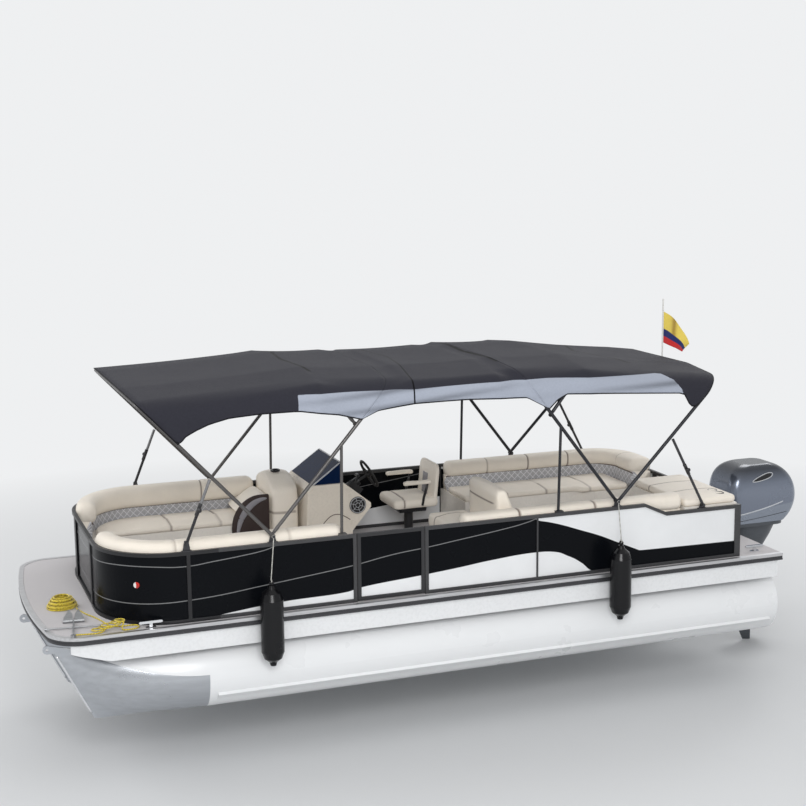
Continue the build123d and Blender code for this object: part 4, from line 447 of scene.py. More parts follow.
def build_groups():
    """The effects that several finishes share."""
    tree, start, end = group("cloudy", {"Scale": 3.0}, ["Share"])
    patches = noise(tree, start["Scale"], 4.0, roughness=0.55)
    feed(tree, end["Share"], fitted(tree, patches, 0.3, 0.7))

    tree, start, end = group("grain", {"Scale": 600.0}, ["Height", "Share"])
    cells = node(tree, "ShaderNodeTexVoronoi", {
        "Vector": on_boat(tree), "Scale": start["Scale"], "Randomness": 1.0}, feature="DISTANCE_TO_EDGE")
    hill = fitted(tree, cells.outputs["Distance"], 0.0, 0.12)
    fine = noise(tree, start["Scale"], 3.0)
    feed(tree, end["Height"], maths(tree, "MULTIPLY_ADD", fine, 0.5, hill))
    feed(tree, end["Share"], hill)

    tree, start, end = group("weave", {"Scale": 700.0}, ["Height", "Share"])
    size = node(tree, "ShaderNodeVectorMath", {0: on_boat(tree), "Scale": start["Scale"]}, operation="SCALE")
    x, y, z = parts(tree, size.outputs[0])
    weft = maths(tree, "SINE", maths(tree, "ADD", y, z))
    both = maths(tree, "MULTIPLY", maths(tree, "SINE", x), weft)
    feed(tree, end["Height"], maths(tree, "MULTIPLY_ADD", both, 0.5, 0.5))
    feed(tree, end["Share"], noise(tree, 60.0, 5.0))

    tree, start, end = group("worn_edge", {"Amount": 1.0, "Scale": 40.0}, ["Mask"])
    shape = node(tree, "ShaderNodeNewGeometry")
    ridge = fitted(tree, shape.outputs["Pointiness"], 0.52, 0.62)
    spots = fitted(tree, noise(tree, start["Scale"], 6.0), 0.45, 0.62)
    both = maths(tree, "MULTIPLY", ridge, spots)
    feed(tree, end["Mask"], maths(tree, "MULTIPLY", both, start["Amount"], clamp=True))

    tree, start, end = group("streaks", {"Scale": 3.0, "Along": (1.0, 8.0, 8.0)}, ["Share"])
    stretch = node(tree, "ShaderNodeVectorMath", {0: on_boat(tree), 1: start["Along"]}, operation="MULTIPLY")
    drawn = noise(tree, start["Scale"], 5.0, stretch.outputs[0])
    feed(tree, end["Share"], fitted(tree, drawn, 0.32, 0.68))

    tree, start, end = group("inside_box", {"Low": (0.0, 0.0, 0.0), "High": (1.0, 1.0, 1.0)}, ["Mask"])
    inside = 1.0
    for here, low, high in zip(parts(tree), parts(tree, start["Low"]), parts(tree, start["High"])):
        over = maths(tree, "GREATER_THAN", here, low)
        below = maths(tree, "LESS_THAN", here, high)
        inside = maths(tree, "MULTIPLY", inside, maths(tree, "MULTIPLY", over, below))
    feed(tree, end["Mask"], inside)

    tree, start, end = group("quilting", {"Pitch": 0.05}, ["Height", "Line"])
    along, around, _ = parts(tree, node(tree, "ShaderNodeUVMap", uv_map="flat").outputs[0])
    lines = []
    for sign in (1.0, -1.0):
        slanted = maths(tree, "MULTIPLY_ADD", around, sign, along)
        lines.append(maths(tree, "PINGPONG", maths(tree, "DIVIDE", slanted, start["Pitch"]), 0.5))
    near = maths(tree, "MINIMUM", *lines)
    feed(tree, end["Height"], maths(tree, "POWER", maths(tree, "MULTIPLY", near, 2.0), 0.5))
    feed(tree, end["Line"], fitted(tree, near, 0.1, 0.03))


def blend_colour(tree, share, first, second):
    """Colour between two others by a share."""
    made = node(tree, "ShaderNodeMix", {"Factor": share}, data_type="RGBA")
    for socket, value in ((made.inputs[6], first), (made.inputs[7], second)):
        feed(tree, socket, value if isinstance(value, bpy.types.NodeSocket) else (*value[:3], 1.0))
    return made.outputs[2]


def shade(colour, factor):
    """A colour made lighter or darker."""
    return tuple(min(max(c * factor, 0.0), 1.0) for c in colour[:3])


def toned(tree, share, colour, low, high):
    """One colour between two brightnesses by a share."""
    return blend_colour(tree, share, shade(colour, low), shade(colour, high))


def finish(tree, shader, **values):
    """Feeds the shader's sockets. A socket's name has _ for a space."""
    for key, value in values.items():
        feed(tree, shader.inputs[key.replace("_", " ")], value)


def new_material(name, **sockets):
    """Empty material with its shader and output. Sockets are the shader's plain values."""
    made = bpy.data.materials.new(name)
    made.use_nodes = True
    tree = made.node_tree
    tree.nodes.clear()
    shader = tree.nodes.new("ShaderNodeBsdfPrincipled")
    out = tree.nodes.new("ShaderNodeOutputMaterial")
    tree.links.new(shader.outputs[0], out.inputs[0])
    finish(tree, shader, **sockets)
    return made, tree, shader


def reopened(made):
    """A finished material's nodes, its shader and the colour that feeds it."""
    shader = next(n for n in made.node_tree.nodes if n.type == "BSDF_PRINCIPLED")
    return made.node_tree, shader, shader.inputs["Base Color"].links[0].from_socket


def bumped(tree, shader, height, strength, distance):
    """Feeds a height to the shader's normal."""
    bump = node(tree, "ShaderNodeBump", {"Strength": strength, "Distance": distance, "Height": height})
    finish(tree, shader, Normal=bump.outputs[0])


# Finishes

# Where the bare nose starts, the top of the rub rail's dark insert, and the front of the bow light's lens
NOSE_START = 2.32
INSERT_TOP = 0.555
LENS_FRONT = 2.893


def metal(name, colour, rough=0.32, metallic=1.0, along=(1.0, 10.0, 10.0), wear=0.5, coat=0.0, vary=0.14,
          scale=6.0):
    """Metal with drawn streaks, cloudy patches and lighter worn edges."""
    made, tree, shader = new_material(name, Metallic=metallic, Coat_Weight=coat)
    streak = use(tree, "streaks", scale=scale, along=along)[0]
    cloud = use(tree, "cloudy", scale=2.3)[0]
    mixed = toned(tree, streak, colour, 1 - vary, 1 + vary)
    mixed = blend_colour(tree, ranged(tree, cloud, 0.0, 0.3), mixed, shade(colour, 1 - 1.6 * vary))
    mixed = blend_colour(tree, use(tree, "worn_edge", amount=wear)[0], mixed, shade(colour, 1.45))
    finish(tree, shader, Base_Color=mixed, Roughness=ranged(tree, streak, rough * 0.8, rough * 1.35))
    bumped(tree, shader, streak, 0.12, 0.0006)
    return made


def moulded(name, colour, rough=0.45, coat=0.0, grain=900.0, depth=0.0002, vary=0.06, wear=0.3, specular=0.5):
    """Moulded plastic or gelcoat: fine grain, slight patches, scuffed edges."""
    made, tree, shader = new_material(
        name, Coat_Weight=coat, Coat_Roughness=0.12, Specular_IOR_Level=specular)
    cloud = use(tree, "cloudy", scale=3.1)[0]
    mixed = toned(tree, cloud, colour, 1 - vary, 1 + vary * 0.6)
    scuffed = shade(colour, 1.25 if max(colour) < 0.5 else 0.86)
    mixed = blend_colour(tree, use(tree, "worn_edge", amount=wear)[0], mixed, scuffed)
    finish(tree, shader, Base_Color=mixed, Roughness=ranged(tree, cloud, rough * 0.85, rough * 1.2))
    bumped(tree, shader, use(tree, "grain", scale=grain)["Height"], 0.35, depth)
    return made


def leather(name, colour, seam_colour, rough=0.5, quilted=0.0, outer=None):
    """Marine vinyl: leather grain, soft tone changes and darker sewn seams. Where a pitch is given, the inner
    side is quilted and the rest has the outer colour."""
    made, tree, shader = new_material(name, Sheen_Weight=0.12, Sheen_Roughness=0.4, Specular_IOR_Level=0.42)
    cloud = use(tree, "cloudy", scale=4.0)[0]
    cells = use(tree, "grain", scale=420.0)
    mixed = toned(tree, cloud, colour, 0.95, 1.025)
    mixed = blend_colour(tree, ranged(tree, cells["Share"], 0.16, 0.0), mixed, shade(colour, 0.8))
    height = maths(tree, "MULTIPLY", cells["Height"], 0.0006)
    if quilted:
        quilt = use(tree, "quilting", pitch=quilted)
        mixed = blend_colour(tree, quilt["Line"], mixed, shade(colour, 1.75))
        inner = mark(tree, "inner")
        raised = maths(tree, "MULTIPLY", quilt["Height"], inner)
        height = maths(tree, "MULTIPLY_ADD", raised, 0.008, height)
        mixed = blend_colour(tree, inner, outer, mixed)
    mixed = blend_colour(tree, mark(tree, "seam"), mixed, seam_colour)
    finish(tree, shader, Base_Color=mixed, Roughness=ranged(tree, cloud, rough * 0.85, rough * 1.15))
    bumped(tree, shader, height, 0.7, 1.0)
    return made


# Boundaries on the fence panels: (length along the fence, height), metres
PANEL_START = -3.0
PANEL_END = 4.2
UPPER_CORNER = 0.7505
UPPER_WHITE = [
    (-3.0, 0.735), (-2.306, 0.744), (-1.853, UPPER_CORNER), (-1.594, 0.864), (-1.425, 0.939), (-1.216, 1.015),
    (-1.03, 1.081), (-0.907, 1.118), (-0.78, 1.150), (-0.6, 1.30), (4.2, 1.35),
]
LOWER_WHITE = [
    (-3.0, 0.56), (-1.5, 0.56), (-1.345, 0.608), (-1.25, 0.687), (-1.094, 0.778), (-0.929, 0.835),
    (-0.787, 0.845), (-0.315, 0.819), (0.0, 0.786), (0.314, 0.758), (0.976, 0.701), (1.046, 0.683),
    (1.648, 0.662), (2.3, 0.60), (2.6, 0.56), (4.2, 0.56),
]
HIGH_LINE = [
    (-3.0, 1.5), (1.2, 1.5), (1.55, 1.25), (1.7, 1.168), (1.813, 1.136), (2.042, 1.107), (2.259, 1.087),
    (2.453, 1.07), (2.794, 1.085), (3.043, 1.085), (3.367, 1.069), (4.2, 1.04),
]
LOW_LINE = [
    (-3.0, 1.4), (-0.9, 1.3), (-0.775, 1.168), (-0.624, 1.127), (-0.415, 1.095), (-0.011, 1.045),
    (0.317, 1.006), (0.583, 0.981), (1.042, 0.91), (1.39, 0.871), (1.822, 0.826), (2.27, 0.781),
    (2.655, 0.766), (3.273, 0.756), (4.2, 0.75),
]
# Soft edge and half width of a painted line, and the height that the panels' curves are counted from
PAINT_EDGE = 0.0015
STRIPE_HALF = 0.0038
CURVE_FOOT = 0.6


def painted_panel(name, white, black):
    """Fence panel paint: black with white shapes and thin grey lines. The pattern runs by the length along
    the fence and by height. A curve holds each boundary's height along that length."""
    made, tree, shader = new_material(name, Specular_IOR_Level=0.08)
    x, y, z = parts(tree)
    beyond = maths(tree, "SUBTRACT", x, CORNER_X)
    aside = maths(tree, "SUBTRACT", maths(tree, "ABSOLUTE", y), CORNER_Y)
    angle = maths(tree, "ARCTAN2", beyond, maths(tree, "MAXIMUM", aside, 0.0001))
    arc = maths(tree, "MULTIPLY", maths(tree, "MAXIMUM", angle, 0.0), CORNER)
    front = maths(tree, "MAXIMUM", maths(tree, "MULTIPLY", aside, -1.0), 0.0)
    along = maths(tree, "ADD", maths(tree, "MINIMUM", x, CORNER_X), maths(tree, "ADD", arc, front))
    share = fitted(tree, along, PANEL_START, PANEL_END)

    def over_boundary(points):
        """Height over a boundary, which is a curve through its points."""
        curve = node(tree, "ShaderNodeFloatCurve", {"Value": share})
        curve.mapping.use_clip = False
        line = curve.mapping.curves[0]
        knots = [((s - PANEL_START) / (PANEL_END - PANEL_START), level - CURVE_FOOT) for s, level in points]
        line.points[0].location = knots[0]
        line.points[1].location = knots[-1]
        for place, height in knots[1:-1]:
            knot = line.points.new(place, height)
            if abs(height + CURVE_FOOT - UPPER_CORNER) < 1e-6:
                knot.handle_type = "VECTOR"
        curve.mapping.update()
        return maths(tree, "SUBTRACT", z, maths(tree, "ADD", curve.outputs[0], CURVE_FOOT))

    above_upper = fitted(tree, over_boundary(UPPER_WHITE), -PAINT_EDGE, PAINT_EDGE)
    colour = blend_colour(tree, above_upper, black, white)
    above_lower = fitted(tree, over_boundary(LOWER_WHITE), -PAINT_EDGE, PAINT_EDGE)
    colour = blend_colour(tree, maths(tree, "SUBTRACT", 1.0, above_lower), colour, white)
    for points in (HIGH_LINE, LOW_LINE):
        off = maths(tree, "ABSOLUTE", over_boundary(points))
        stripe = fitted(tree, off, STRIPE_HALF + PAINT_EDGE, STRIPE_HALF - PAINT_EDGE)
        colour = blend_colour(tree, stripe, colour, shade(white, 0.26))
    cloud = use(tree, "cloudy", scale=2.0)[0]
    colour = blend_colour(tree, ranged(tree, cloud, 0.0, 0.08), colour, shade(black, 2.0))
    finish(tree, shader, Base_Color=colour, Roughness=ranged(tree, cloud, 0.2, 0.32))
    bumped(tree, shader, noise(tree, 2.2, 1.0), 0.25, 0.004)
    return made


def gate_material(name, frame_colour, low, high, panel):
    """Gate leaf: the panel's paint inside a box, the frame's metal outside."""
    made = panel.copy()
    made.name = name
    tree, shader, painted = reopened(made)
    inside = use(tree, "inside_box", low=low, high=high)[0]
    finish(tree, shader, Base_Color=blend_colour(tree, inside, frame_colour, painted),
           Metallic=ranged(tree, inside, 0.7, 0.0), Roughness=ranged(tree, inside, 0.38, 0.18))
    return made


def two_tone(made, axis, place, other, beyond):
    """Changes a metal to another, duller colour on one side of a plane: beyond it, or before it."""
    tree, shader, drawn = reopened(made)
    metallic = shader.inputs["Metallic"].default_value
    changed = maths(tree, "GREATER_THAN" if beyond else "LESS_THAN", parts(tree)[axis], place)
    finish(tree, shader, Base_Color=blend_colour(tree, changed, drawn, other),
           Metallic=ranged(tree, changed, metallic, 0.1))
    return made


def hull_material(name, white, bare):
    """Tube skin: gloss white paint aft, bare aluminium on the nose below a curved boundary, faint drawn
    marks."""
    made, tree, shader = new_material(name)
    x, _, z = parts(tree)
    cloud = use(tree, "cloudy", scale=1.7)[0]
    streak = use(tree, "streaks", scale=2.0, along=(1.0, 14.0, 14.0))[0]
    forward = maths(tree, "MAXIMUM", maths(tree, "SUBTRACT", x, NOSE_START), 0.0)
    rise = maths(tree, "MULTIPLY_ADD", maths(tree, "POWER", forward, 1.8), 0.22, 0.11)
    bare_here = maths(
        tree, "MULTIPLY", maths(tree, "GREATER_THAN", x, NOSE_START), maths(tree, "LESS_THAN", z, rise))
    low_down = fitted(tree, z, 0.02, -0.16)
    stain = maths(tree, "MULTIPLY", maths(tree, "MULTIPLY", low_down, streak), 0.07)
    painted = blend_colour(tree, stain, toned(tree, cloud, white, 0.99, 1.0), (0.45, 0.44, 0.38))
    colour = blend_colour(tree, bare_here, painted, toned(tree, streak, bare, 0.94, 1.05))
    finish(tree, shader, Base_Color=colour, Metallic=ranged(tree, bare_here, 0.0, 0.9),
           Roughness=maths(tree, "MULTIPLY_ADD", cloud, 0.02, 0.27))
    bumped(tree, shader, streak, 0.04, 0.0005)
    return made


def deck_material(name, colour):
    """Deck covering: short dense pile with a fleck."""
    made, tree, shader = new_material(
        name, Sheen_Weight=0.25, Sheen_Roughness=0.6, Specular_IOR_Level=0.2, Roughness=0.92)
    fleck = noise(tree, 260.0, 4.0, roughness=0.7)
    cloud = use(tree, "cloudy", scale=1.5)[0]
    mixed = blend_colour(
        tree, ranged(tree, cloud, 0.0, 0.2), toned(tree, fleck, colour, 0.72, 1.2), shade(colour, 0.8))
    finish(tree, shader, Base_Color=mixed)
    bumped(tree, shader, fleck, 0.6, 0.0025)
    return made


def rail_material(name, bright, dark):
    """Rub rail: bright drawn strip above, dark insert below."""
    made, tree, shader = new_material(name)
    upper = maths(tree, "GREATER_THAN", parts(tree)[Z], INSERT_TOP)
    streak = use(tree, "streaks", scale=3.0, along=(1.0, 30.0, 30.0))[0]
    colour = blend_colour(tree, upper, dark, toned(tree, streak, bright, 0.85, 1.1))
    finish(tree, shader, Base_Color=colour, Metallic=ranged(tree, upper, 0.2, 0.85),
           Roughness=maths(tree, "MULTIPLY_ADD", streak, 0.12, 0.28))
    bumped(tree, shader, streak, 0.15, 0.0006)
    return made


def canopy_material(name, colour, seam_colour, valance_colour, binding):
    """Woven cloth with slubs and dark seams, a silver valance with darker folds, and a dark binding at its
    edges. The cloth's points carry the valance's depth, the folds and the distance to the edge."""
    made, tree, shader = new_material(name, Sheen_Weight=0.06, Sheen_Roughness=0.5, Specular_IOR_Level=0.12)
    woven = use(tree, "weave", scale=900.0)
    cloud = use(tree, "cloudy", scale=2.4)[0]
    mixed = toned(tree, woven["Share"], colour, 0.85, 1.15)
    mixed = blend_colour(tree, ranged(tree, cloud, 0.0, 0.22), mixed, shade(colour, 1.3))
    silver = toned(tree, woven["Share"], valance_colour, 0.92, 1.08)
    # Painted shade: the valance darkens to 0.42 of its colour towards the fold troughs
    painted_fold_shade = ranged(tree, mark(tree, "fold"), 0.0, 0.85)
    silver = blend_colour(tree, painted_fold_shade, silver, shade(valance_colour, 0.42))
    mixed = blend_colour(tree, fitted(tree, mark(tree, "valance"), 0.0, 0.004), mixed, silver)
    mixed = blend_colour(tree, fitted(tree, mark(tree, "binding"), 0.013, 0.011), mixed, binding)
    along = mark(tree, "along")
    across = maths(tree, "ABSOLUTE", mark(tree, "across"))
    sewn = 0.0
    for at, slant, reach, half in CANOPY_SEAMS:
        skewed = maths(tree, "MULTIPLY_ADD", across, -slant, along)
        off = maths(tree, "ABSOLUTE", maths(tree, "SUBTRACT", skewed, at))
        near = fitted(tree, off, half + PAINT_EDGE, half - PAINT_EDGE)
        near = maths(tree, "MULTIPLY", near, maths(tree, "LESS_THAN", across, reach))
        sewn = maths(tree, "MAXIMUM", sewn, near)
    finish(tree, shader, Base_Color=blend_colour(tree, sewn, mixed, seam_colour),
           Roughness=ranged(tree, cloud, 0.78, 0.92))
    bumped(tree, shader, maths(tree, "MULTIPLY_ADD", sewn, -1.5, woven["Height"]), 0.5, 0.0012)
    return made


def rope_material(name, colour, strand=0.011):
    """Laid rope: strands wound round its length, dark between them."""
    made, tree, shader = new_material(
        name, Sheen_Weight=0.3, Sheen_Roughness=0.5, Specular_IOR_Level=0.3, Roughness=0.85)
    bands = node(tree, "ShaderNodeTexWave", {
        "Vector": on_boat(tree), "Scale": 0.32 / strand, "Distortion": 2.0, "Detail": 2.0,
        "Detail Scale": 3.0}, wave_type="BANDS", bands_direction="DIAGONAL").outputs["Fac"]
    fuzz = noise(tree, 900.0, 3.0)
    # Painted shade: the grooves between the strands are darkened to 0.42 of the rope's colour
    mixed = toned(tree, bands, colour, 0.42, 1.0)
    mixed = blend_colour(tree, ranged(tree, fuzz, 0.0, 0.4), mixed, shade(colour, 1.2))
    finish(tree, shader, Base_Color=mixed)
    bumped(tree, shader, maths(tree, "MULTIPLY_ADD", fuzz, 0.3, bands), 0.8, 0.0025)
    return made


def screen_material(name, tint):
    """Dark tinted acrylic, nearly opaque, with a soft sheen."""
    made, tree, shader = new_material(name, Transmission_Weight=0.06, IOR=1.49, Specular_IOR_Level=0.06)
    cloud = use(tree, "cloudy", scale=5.0)[0]
    tinted = toned(tree, cloud, tint, 0.9, 1.0)
    finish(tree, shader, Base_Color=tinted, Roughness=ranged(tree, cloud, 0.16, 0.22))
    return made


def lamp_material(name, lens, pale):
    """Bow light: coloured lens on one side, pale on the other."""
    made, tree, shader = new_material(name, Coat_Weight=0.6, Coat_Roughness=0.05, Roughness=0.18)
    forward = maths(tree, "GREATER_THAN", parts(tree)[X], LENS_FRONT)
    cloud = use(tree, "cloudy", scale=60.0)[0]
    finish(tree, shader, Base_Color=blend_colour(tree, forward, toned(tree, cloud, lens, 0.85, 1.0), pale))
    return made


def flag_material(name, upper, fold, middle, lower):
    """Flag cloth: pale upper half with a darker fold, then a dark band and a bright lower band."""
    made, tree, shader = new_material(name, Sheen_Weight=0.2, Specular_IOR_Level=0.2, Roughness=0.85)
    band = mark(tree, "band")
    # Painted shade: the fold colour darkens the upper half along the crease
    mixed = blend_colour(tree, mark(tree, "crease_shade"), upper, fold)
    mixed = blend_colour(tree, fitted(tree, band, 0.49, 0.51), mixed, middle)
    mixed = blend_colour(tree, fitted(tree, band, 0.74, 0.76), mixed, lower)
    finish(tree, shader, Base_Color=mixed)
    bumped(tree, shader, use(tree, "weave", scale=1600.0)["Height"], 0.4, 0.0008)
    return made


def cowl_material(name, paint, band):
    """Cowl paint: metallic flake, darker crown, and a silver lower band under a sloping edge."""
    made, tree, shader = new_material(name, Metallic=0.55, Coat_Weight=0.35, Coat_Roughness=0.14)
    x, _, z = parts(tree)
    flake = node(tree, "ShaderNodeTexVoronoi", {"Vector": on_boat(tree), "Scale": 1400.0})
    sparkle = node(tree, "ShaderNodeSeparateColor", {0: flake.outputs["Color"]}).outputs[0]
    tone = toned(tree, sparkle, paint, 0.85, 1.2)
    tone = blend_colour(tree, fitted(tree, z, 1.02, 1.16), tone, shade(paint, 0.22))
    slope = maths(tree, "MULTIPLY_ADD", x, -0.12, 0.285)
    low = fitted(tree, maths(tree, "SUBTRACT", z, slope), 0.003, -0.003)
    tone = blend_colour(tree, low, tone, band)
    tone = blend_colour(tree, use(tree, "worn_edge", amount=0.3)[0], tone, shade(band, 1.2))
    cloud = use(tree, "cloudy", scale=3.0)[0]
    finish(tree, shader, Base_Color=tone, Roughness=ranged(tree, cloud, 0.2, 0.3))
    return made


def build_materials():
    """Every finish on the boat, from the colours in the panel."""
    tone = bpy.context.scene.boat_colours
    white, black, cream, rails = (
        tuple(c) for c in (tone.paint_white, tone.paint_black, tone.cream, tone.rails))
    build_groups()
    made = MATERIALS
    made["hull"] = hull_material("tube_paint", white, (0.50, 0.52, 0.55))
    made["bare"] = metal("bare_aluminium", (0.55, 0.56, 0.58), rough=0.4, vary=0.12)
    made["skirt"] = moulded("skirt_paint", shade(white, 0.98), rough=0.32, coat=0.2, grain=500.0, vary=0.02)
    made["pod"] = metal("pod_aluminium", (0.45, 0.46, 0.48), rough=0.42, vary=0.16)
    made["deck"] = deck_material("deck_cover", tuple(tone.deck))
    made["rail"] = rail_material("rub_rail", (0.62, 0.62, 0.63), (0.05, 0.05, 0.055))
    made["fence"] = two_tone(
        metal("fence_rail", rails, rough=0.36, metallic=0.45, along=(1.0, 16.0, 16.0), vary=0.06),
        X, 2.2, (0.010, 0.010, 0.012), beyond=True)
    made["panel"] = painted_panel("fence_panel", white, black)
    for word, colour, low, high in (
            ("bow", (0.012, 0.012, 0.014), (3.10, -0.412, 0.624), (3.2, 0.412, 1.168)),
            ("side", rails, (0.363, 1.1, 0.624), (0.93, 1.3, 1.168)),
            ("stern", rails, (-3.0, -0.362, 0.624), (-2.8, 0.112, 1.063))):
        made[f"gate_{word}"] = gate_material(f"gate_{word}", colour, low, high, made["panel"])
    made["base"] = moulded("seat_base", (0.80, 0.76, 0.70), rough=0.5, grain=700.0, depth=0.0004)
    made["cream"] = leather("cream_vinyl", cream, (0.14, 0.09, 0.07))
    made["quilt"] = leather(
        "quilted_vinyl", (0.46, 0.46, 0.48), (0.1, 0.08, 0.08), quilted=0.072, outer=cream)
    made["grey"] = leather("grey_vinyl", (0.27, 0.26, 0.28), (0.06, 0.05, 0.05))
    made["piping"] = leather("piping", (0.11, 0.075, 0.06), (0.05, 0.04, 0.04), rough=0.45)
    made["console"] = moulded("helm_moulding", (0.82, 0.75, 0.65), rough=0.3, coat=0.2, grain=500.0)
    made["brown"] = moulded("brown_moulding", (0.035, 0.022, 0.02), rough=0.35, coat=0.25, grain=700.0)
    made["silver"] = moulded("silver_trim", (0.55, 0.56, 0.58), rough=0.3, coat=0.3)
    made["black"] = moulded("black_plastic", (0.014, 0.014, 0.016), rough=0.36, coat=0.1)
    made["rubber"] = moulded("wheel_grip", (0.016, 0.015, 0.015), rough=0.6, grain=500.0, depth=0.0005)
    made["chrome"] = metal("bright_metal", (0.78, 0.79, 0.81), rough=0.12, vary=0.05, wear=0.0)
    made["screen"] = screen_material("tinted_screen", (0.006, 0.018, 0.062))
    made["bow"] = metal("top_bow_tube", (0.105, 0.10, 0.098), rough=0.36, metallic=0.55, vary=0.03)
    # Rear bows: the front bows' tube painted near black, as painted shade
    made["bow_painted_shade"] = metal("rear_bow_painted_shade", (0.022, 0.023, 0.028), rough=0.36, metallic=0.3, vary=0.03)
    made["strut"] = two_tone(
        metal("strut_tube", (0.20, 0.20, 0.205), rough=0.32, metallic=0.6, vary=0.03),
        Z, 1.56, (0.018, 0.018, 0.021), beyond=False)
    made["bracket"] = metal("bracket_metal", (0.05, 0.05, 0.055), rough=0.38, metallic=0.5)
    made["canopy"] = canopy_material(
        "canopy_cloth", tuple(tone.canopy), (0.003, 0.003, 0.004), tuple(tone.valance), (0.010, 0.010, 0.013))
    made["cowl"] = cowl_material("cowl_paint", tuple(tone.outboard), (0.25, 0.28, 0.335))
    made["leg"] = metal("leg_paint", (0.075, 0.083, 0.095), rough=0.36, metallic=0.3, coat=0.2, vary=0.12)
    made["stripe"] = moulded("cowl_stripe", (0.55, 0.57, 0.60), rough=0.25, coat=0.5)
    made["slot"] = moulded("air_slot", (0.008, 0.008, 0.009), rough=0.55)
    made["prop"] = metal("propeller_metal", (0.30, 0.31, 0.32), rough=0.3, vary=0.2)
    made["galvanised"] = metal("galvanised", (0.42, 0.43, 0.44), rough=0.5, vary=0.25, scale=16.0)
    made["fender"] = moulded(
        "fender_skin", (0.003, 0.003, 0.004), rough=0.24, grain=300.0, depth=0.00001, wear=0.0, specular=0.32)
    made["rope"] = rope_material("yellow_rope", tuple(tone.rope))
    made["cordage"] = rope_material("white_cord", (0.55, 0.54, 0.5), strand=0.006)
    made["lamp"] = lamp_material("bow_light_lens", (0.62, 0.03, 0.02), (0.75, 0.74, 0.72))
    made["staff"] = moulded("flag_staff", (0.72, 0.71, 0.68), rough=0.4)
    # Flag colours: upper half, painted shade of its fold, middle band, lower band
    made["flag"] = flag_material(
        "flag_cloth", (0.80, 0.62, 0.12), (0.42, 0.27, 0.05), (0.02, 0.03, 0.13), (0.55, 0.03, 0.03))


# Solid parts that stay in view, by finish
FINISHES = {
    "hull": ["tube_port", "tube_centre", "tube_starboard"],
    "bare": ["cross_members", "gate_hinges"],
    "skirt": ["side_skirts"],
    "pod": ["motor_pod"],
    "deck": ["deck"],
    "rail": ["rub_rail"],
    "fence": ["fence_port", "fence_starboard"],
    "panel": ["panels_port", "panels_starboard"],
    "gate_bow": ["bow_gate"],
    "gate_side": ["side_gate"],
    "gate_stern": ["stern_gate"],
    "base": ["lounge_bases_port", "lounge_bases_starboard", "stern_locker"],
    "console": ["console"],
    "black": ["dash", "pedestal"],
    "screen": ["windscreen"],
    "rubber": ["steering_wheel"],
    "bow": ["front_fixed_bow", "front_end_bow", "front_mid_bow"],
    # The rear bows take the bow tube's darker copy, which is painted shade
    "bow_painted_shade": ["rear_fixed_bow", "rear_end_bow", "rear_mid_bow"],
    "strut": ["front_strut"],
    "bracket": ["top_brackets", "rear_strut", "clamp_bracket", "swivel_bracket"],
    "leg": ["motor_leg"],
    "cowl": ["cowl"],
    "prop": ["propeller"],
    "chrome": ["cleats"],
    "fender": ["fenders"],
    "galvanised": ["anchor"],
    "staff": ["flag_staff"],
    "lamp": ["bow_light"],
}


def finish_nodes():
    """Gives every solid part in view its finish."""
    for key, names in FINISHES.items():
        for name in names:
            for place in NODES[name].material_slots:
                place.link = "OBJECT"
                place.material = MATERIALS[key]


# Seats

def place_pad(name, corners, spine, low, high, body=HULL, look="cream", fill=0.75, replaced=(), origin=None,
              **shape):
    """Builds one cushion, moves it to its origin where one is given, and upholsters it."""
    made = pad(name, corners, spine, low, high, **shape)
    if origin is not None:
        made.data.transform(Matrix.Translation(origin))
    return upholster(made, body, look, replaced)


def box_outline(aft, front, inner, outer):
    """Rectangle in plan."""
    return [(aft, inner), (front, inner), (front, outer), (aft, outer)]


def bow_outline(aft, side):
    """Plan of a bow bench cushion: straight along the fence, round at the bow corner."""
    inner = 0.492
    radius = CORNER - 0.214
    turn = np.linspace(0, math.pi / 2, 12)
    arc = [(CORNER_X + radius * math.cos(a), CORNER_Y + radius * math.sin(a)) for a in turn]
    points = [(CORNER_X + radius, inner), *arc, (aft, BENCH_OUTER), (aft, inner)]
    points = [(x, y * side) for x, y in points]
    return points if side > 0 else points[::-1]


def sewn_across(start, end):
    """Channels across a bench at even places between its two ends, about half a metre apart."""
    count = max(int(round(abs(end - start) / 0.5)), 1)
    return [(X, start + (end - start) * k / count, 0.010) for k in range(1, count)]


def build_cushions():
    """Seat cushions of the benches, with sewn channels."""
    crown = bpy.context.scene.boat_sizes.cushion_crown
    for (word, side), aft in zip(SIDES, (1.069, 1.306)):
        place_pad(
            f"bow_cushion_{word}", bow_outline(aft, side), ((aft + 0.25, 0.75 * side), (2.68, 0.75 * side)),
            SEAT_BASE, SEAT_TOP, replaced=[f"cushions_{word}"], crown=crown, channels=sewn_across(aft, 2.75))
    place_pad(
        "aft_cushion_port", box_outline(-2.336, -0.789, BENCH_INNER, BENCH_OUTER),
        ((-2.08, 0.746), (-1.04, 0.746)), SEAT_BASE, SEAT_TOP, crown=crown,
        channels=sewn_across(-2.34, -0.79))
    outline = [
        (-2.616, -0.410), (-2.616, -BENCH_OUTER), (-0.784, -BENCH_OUTER), (-0.784, -BENCH_INNER),
        (-2.02, -BENCH_INNER), (-2.1, -0.41)]
    place_pad(
        "aft_cushion_starboard", outline[::-1], ((-2.3, -0.73), (-1.04, -0.73)), SEAT_BASE, SEAT_TOP,
        crown=crown, channels=sewn_across(-2.62, -0.78))


def build_backrest(word, cream, band, edge, edge_z, replaced=()):
    """One backrest: the cream roll and the quilted band, each by a roll's values and shape, and piping along
    an edge."""
    made = roll(f"back_roll_{word}", *cream[0], **cream[1])
    upholster(made, HULL, "cream", replaced)
    made = roll(f"back_band_{word}", *band, round_end=0.02, power=9.0)
    upholster(made, HULL, "quilt")
    line = np.column_stack([edge, np.full(len(edge), edge_z)])
    settle(tube(f"back_piping_{word}", line, PIPING, sides=8), HULL, "piping")


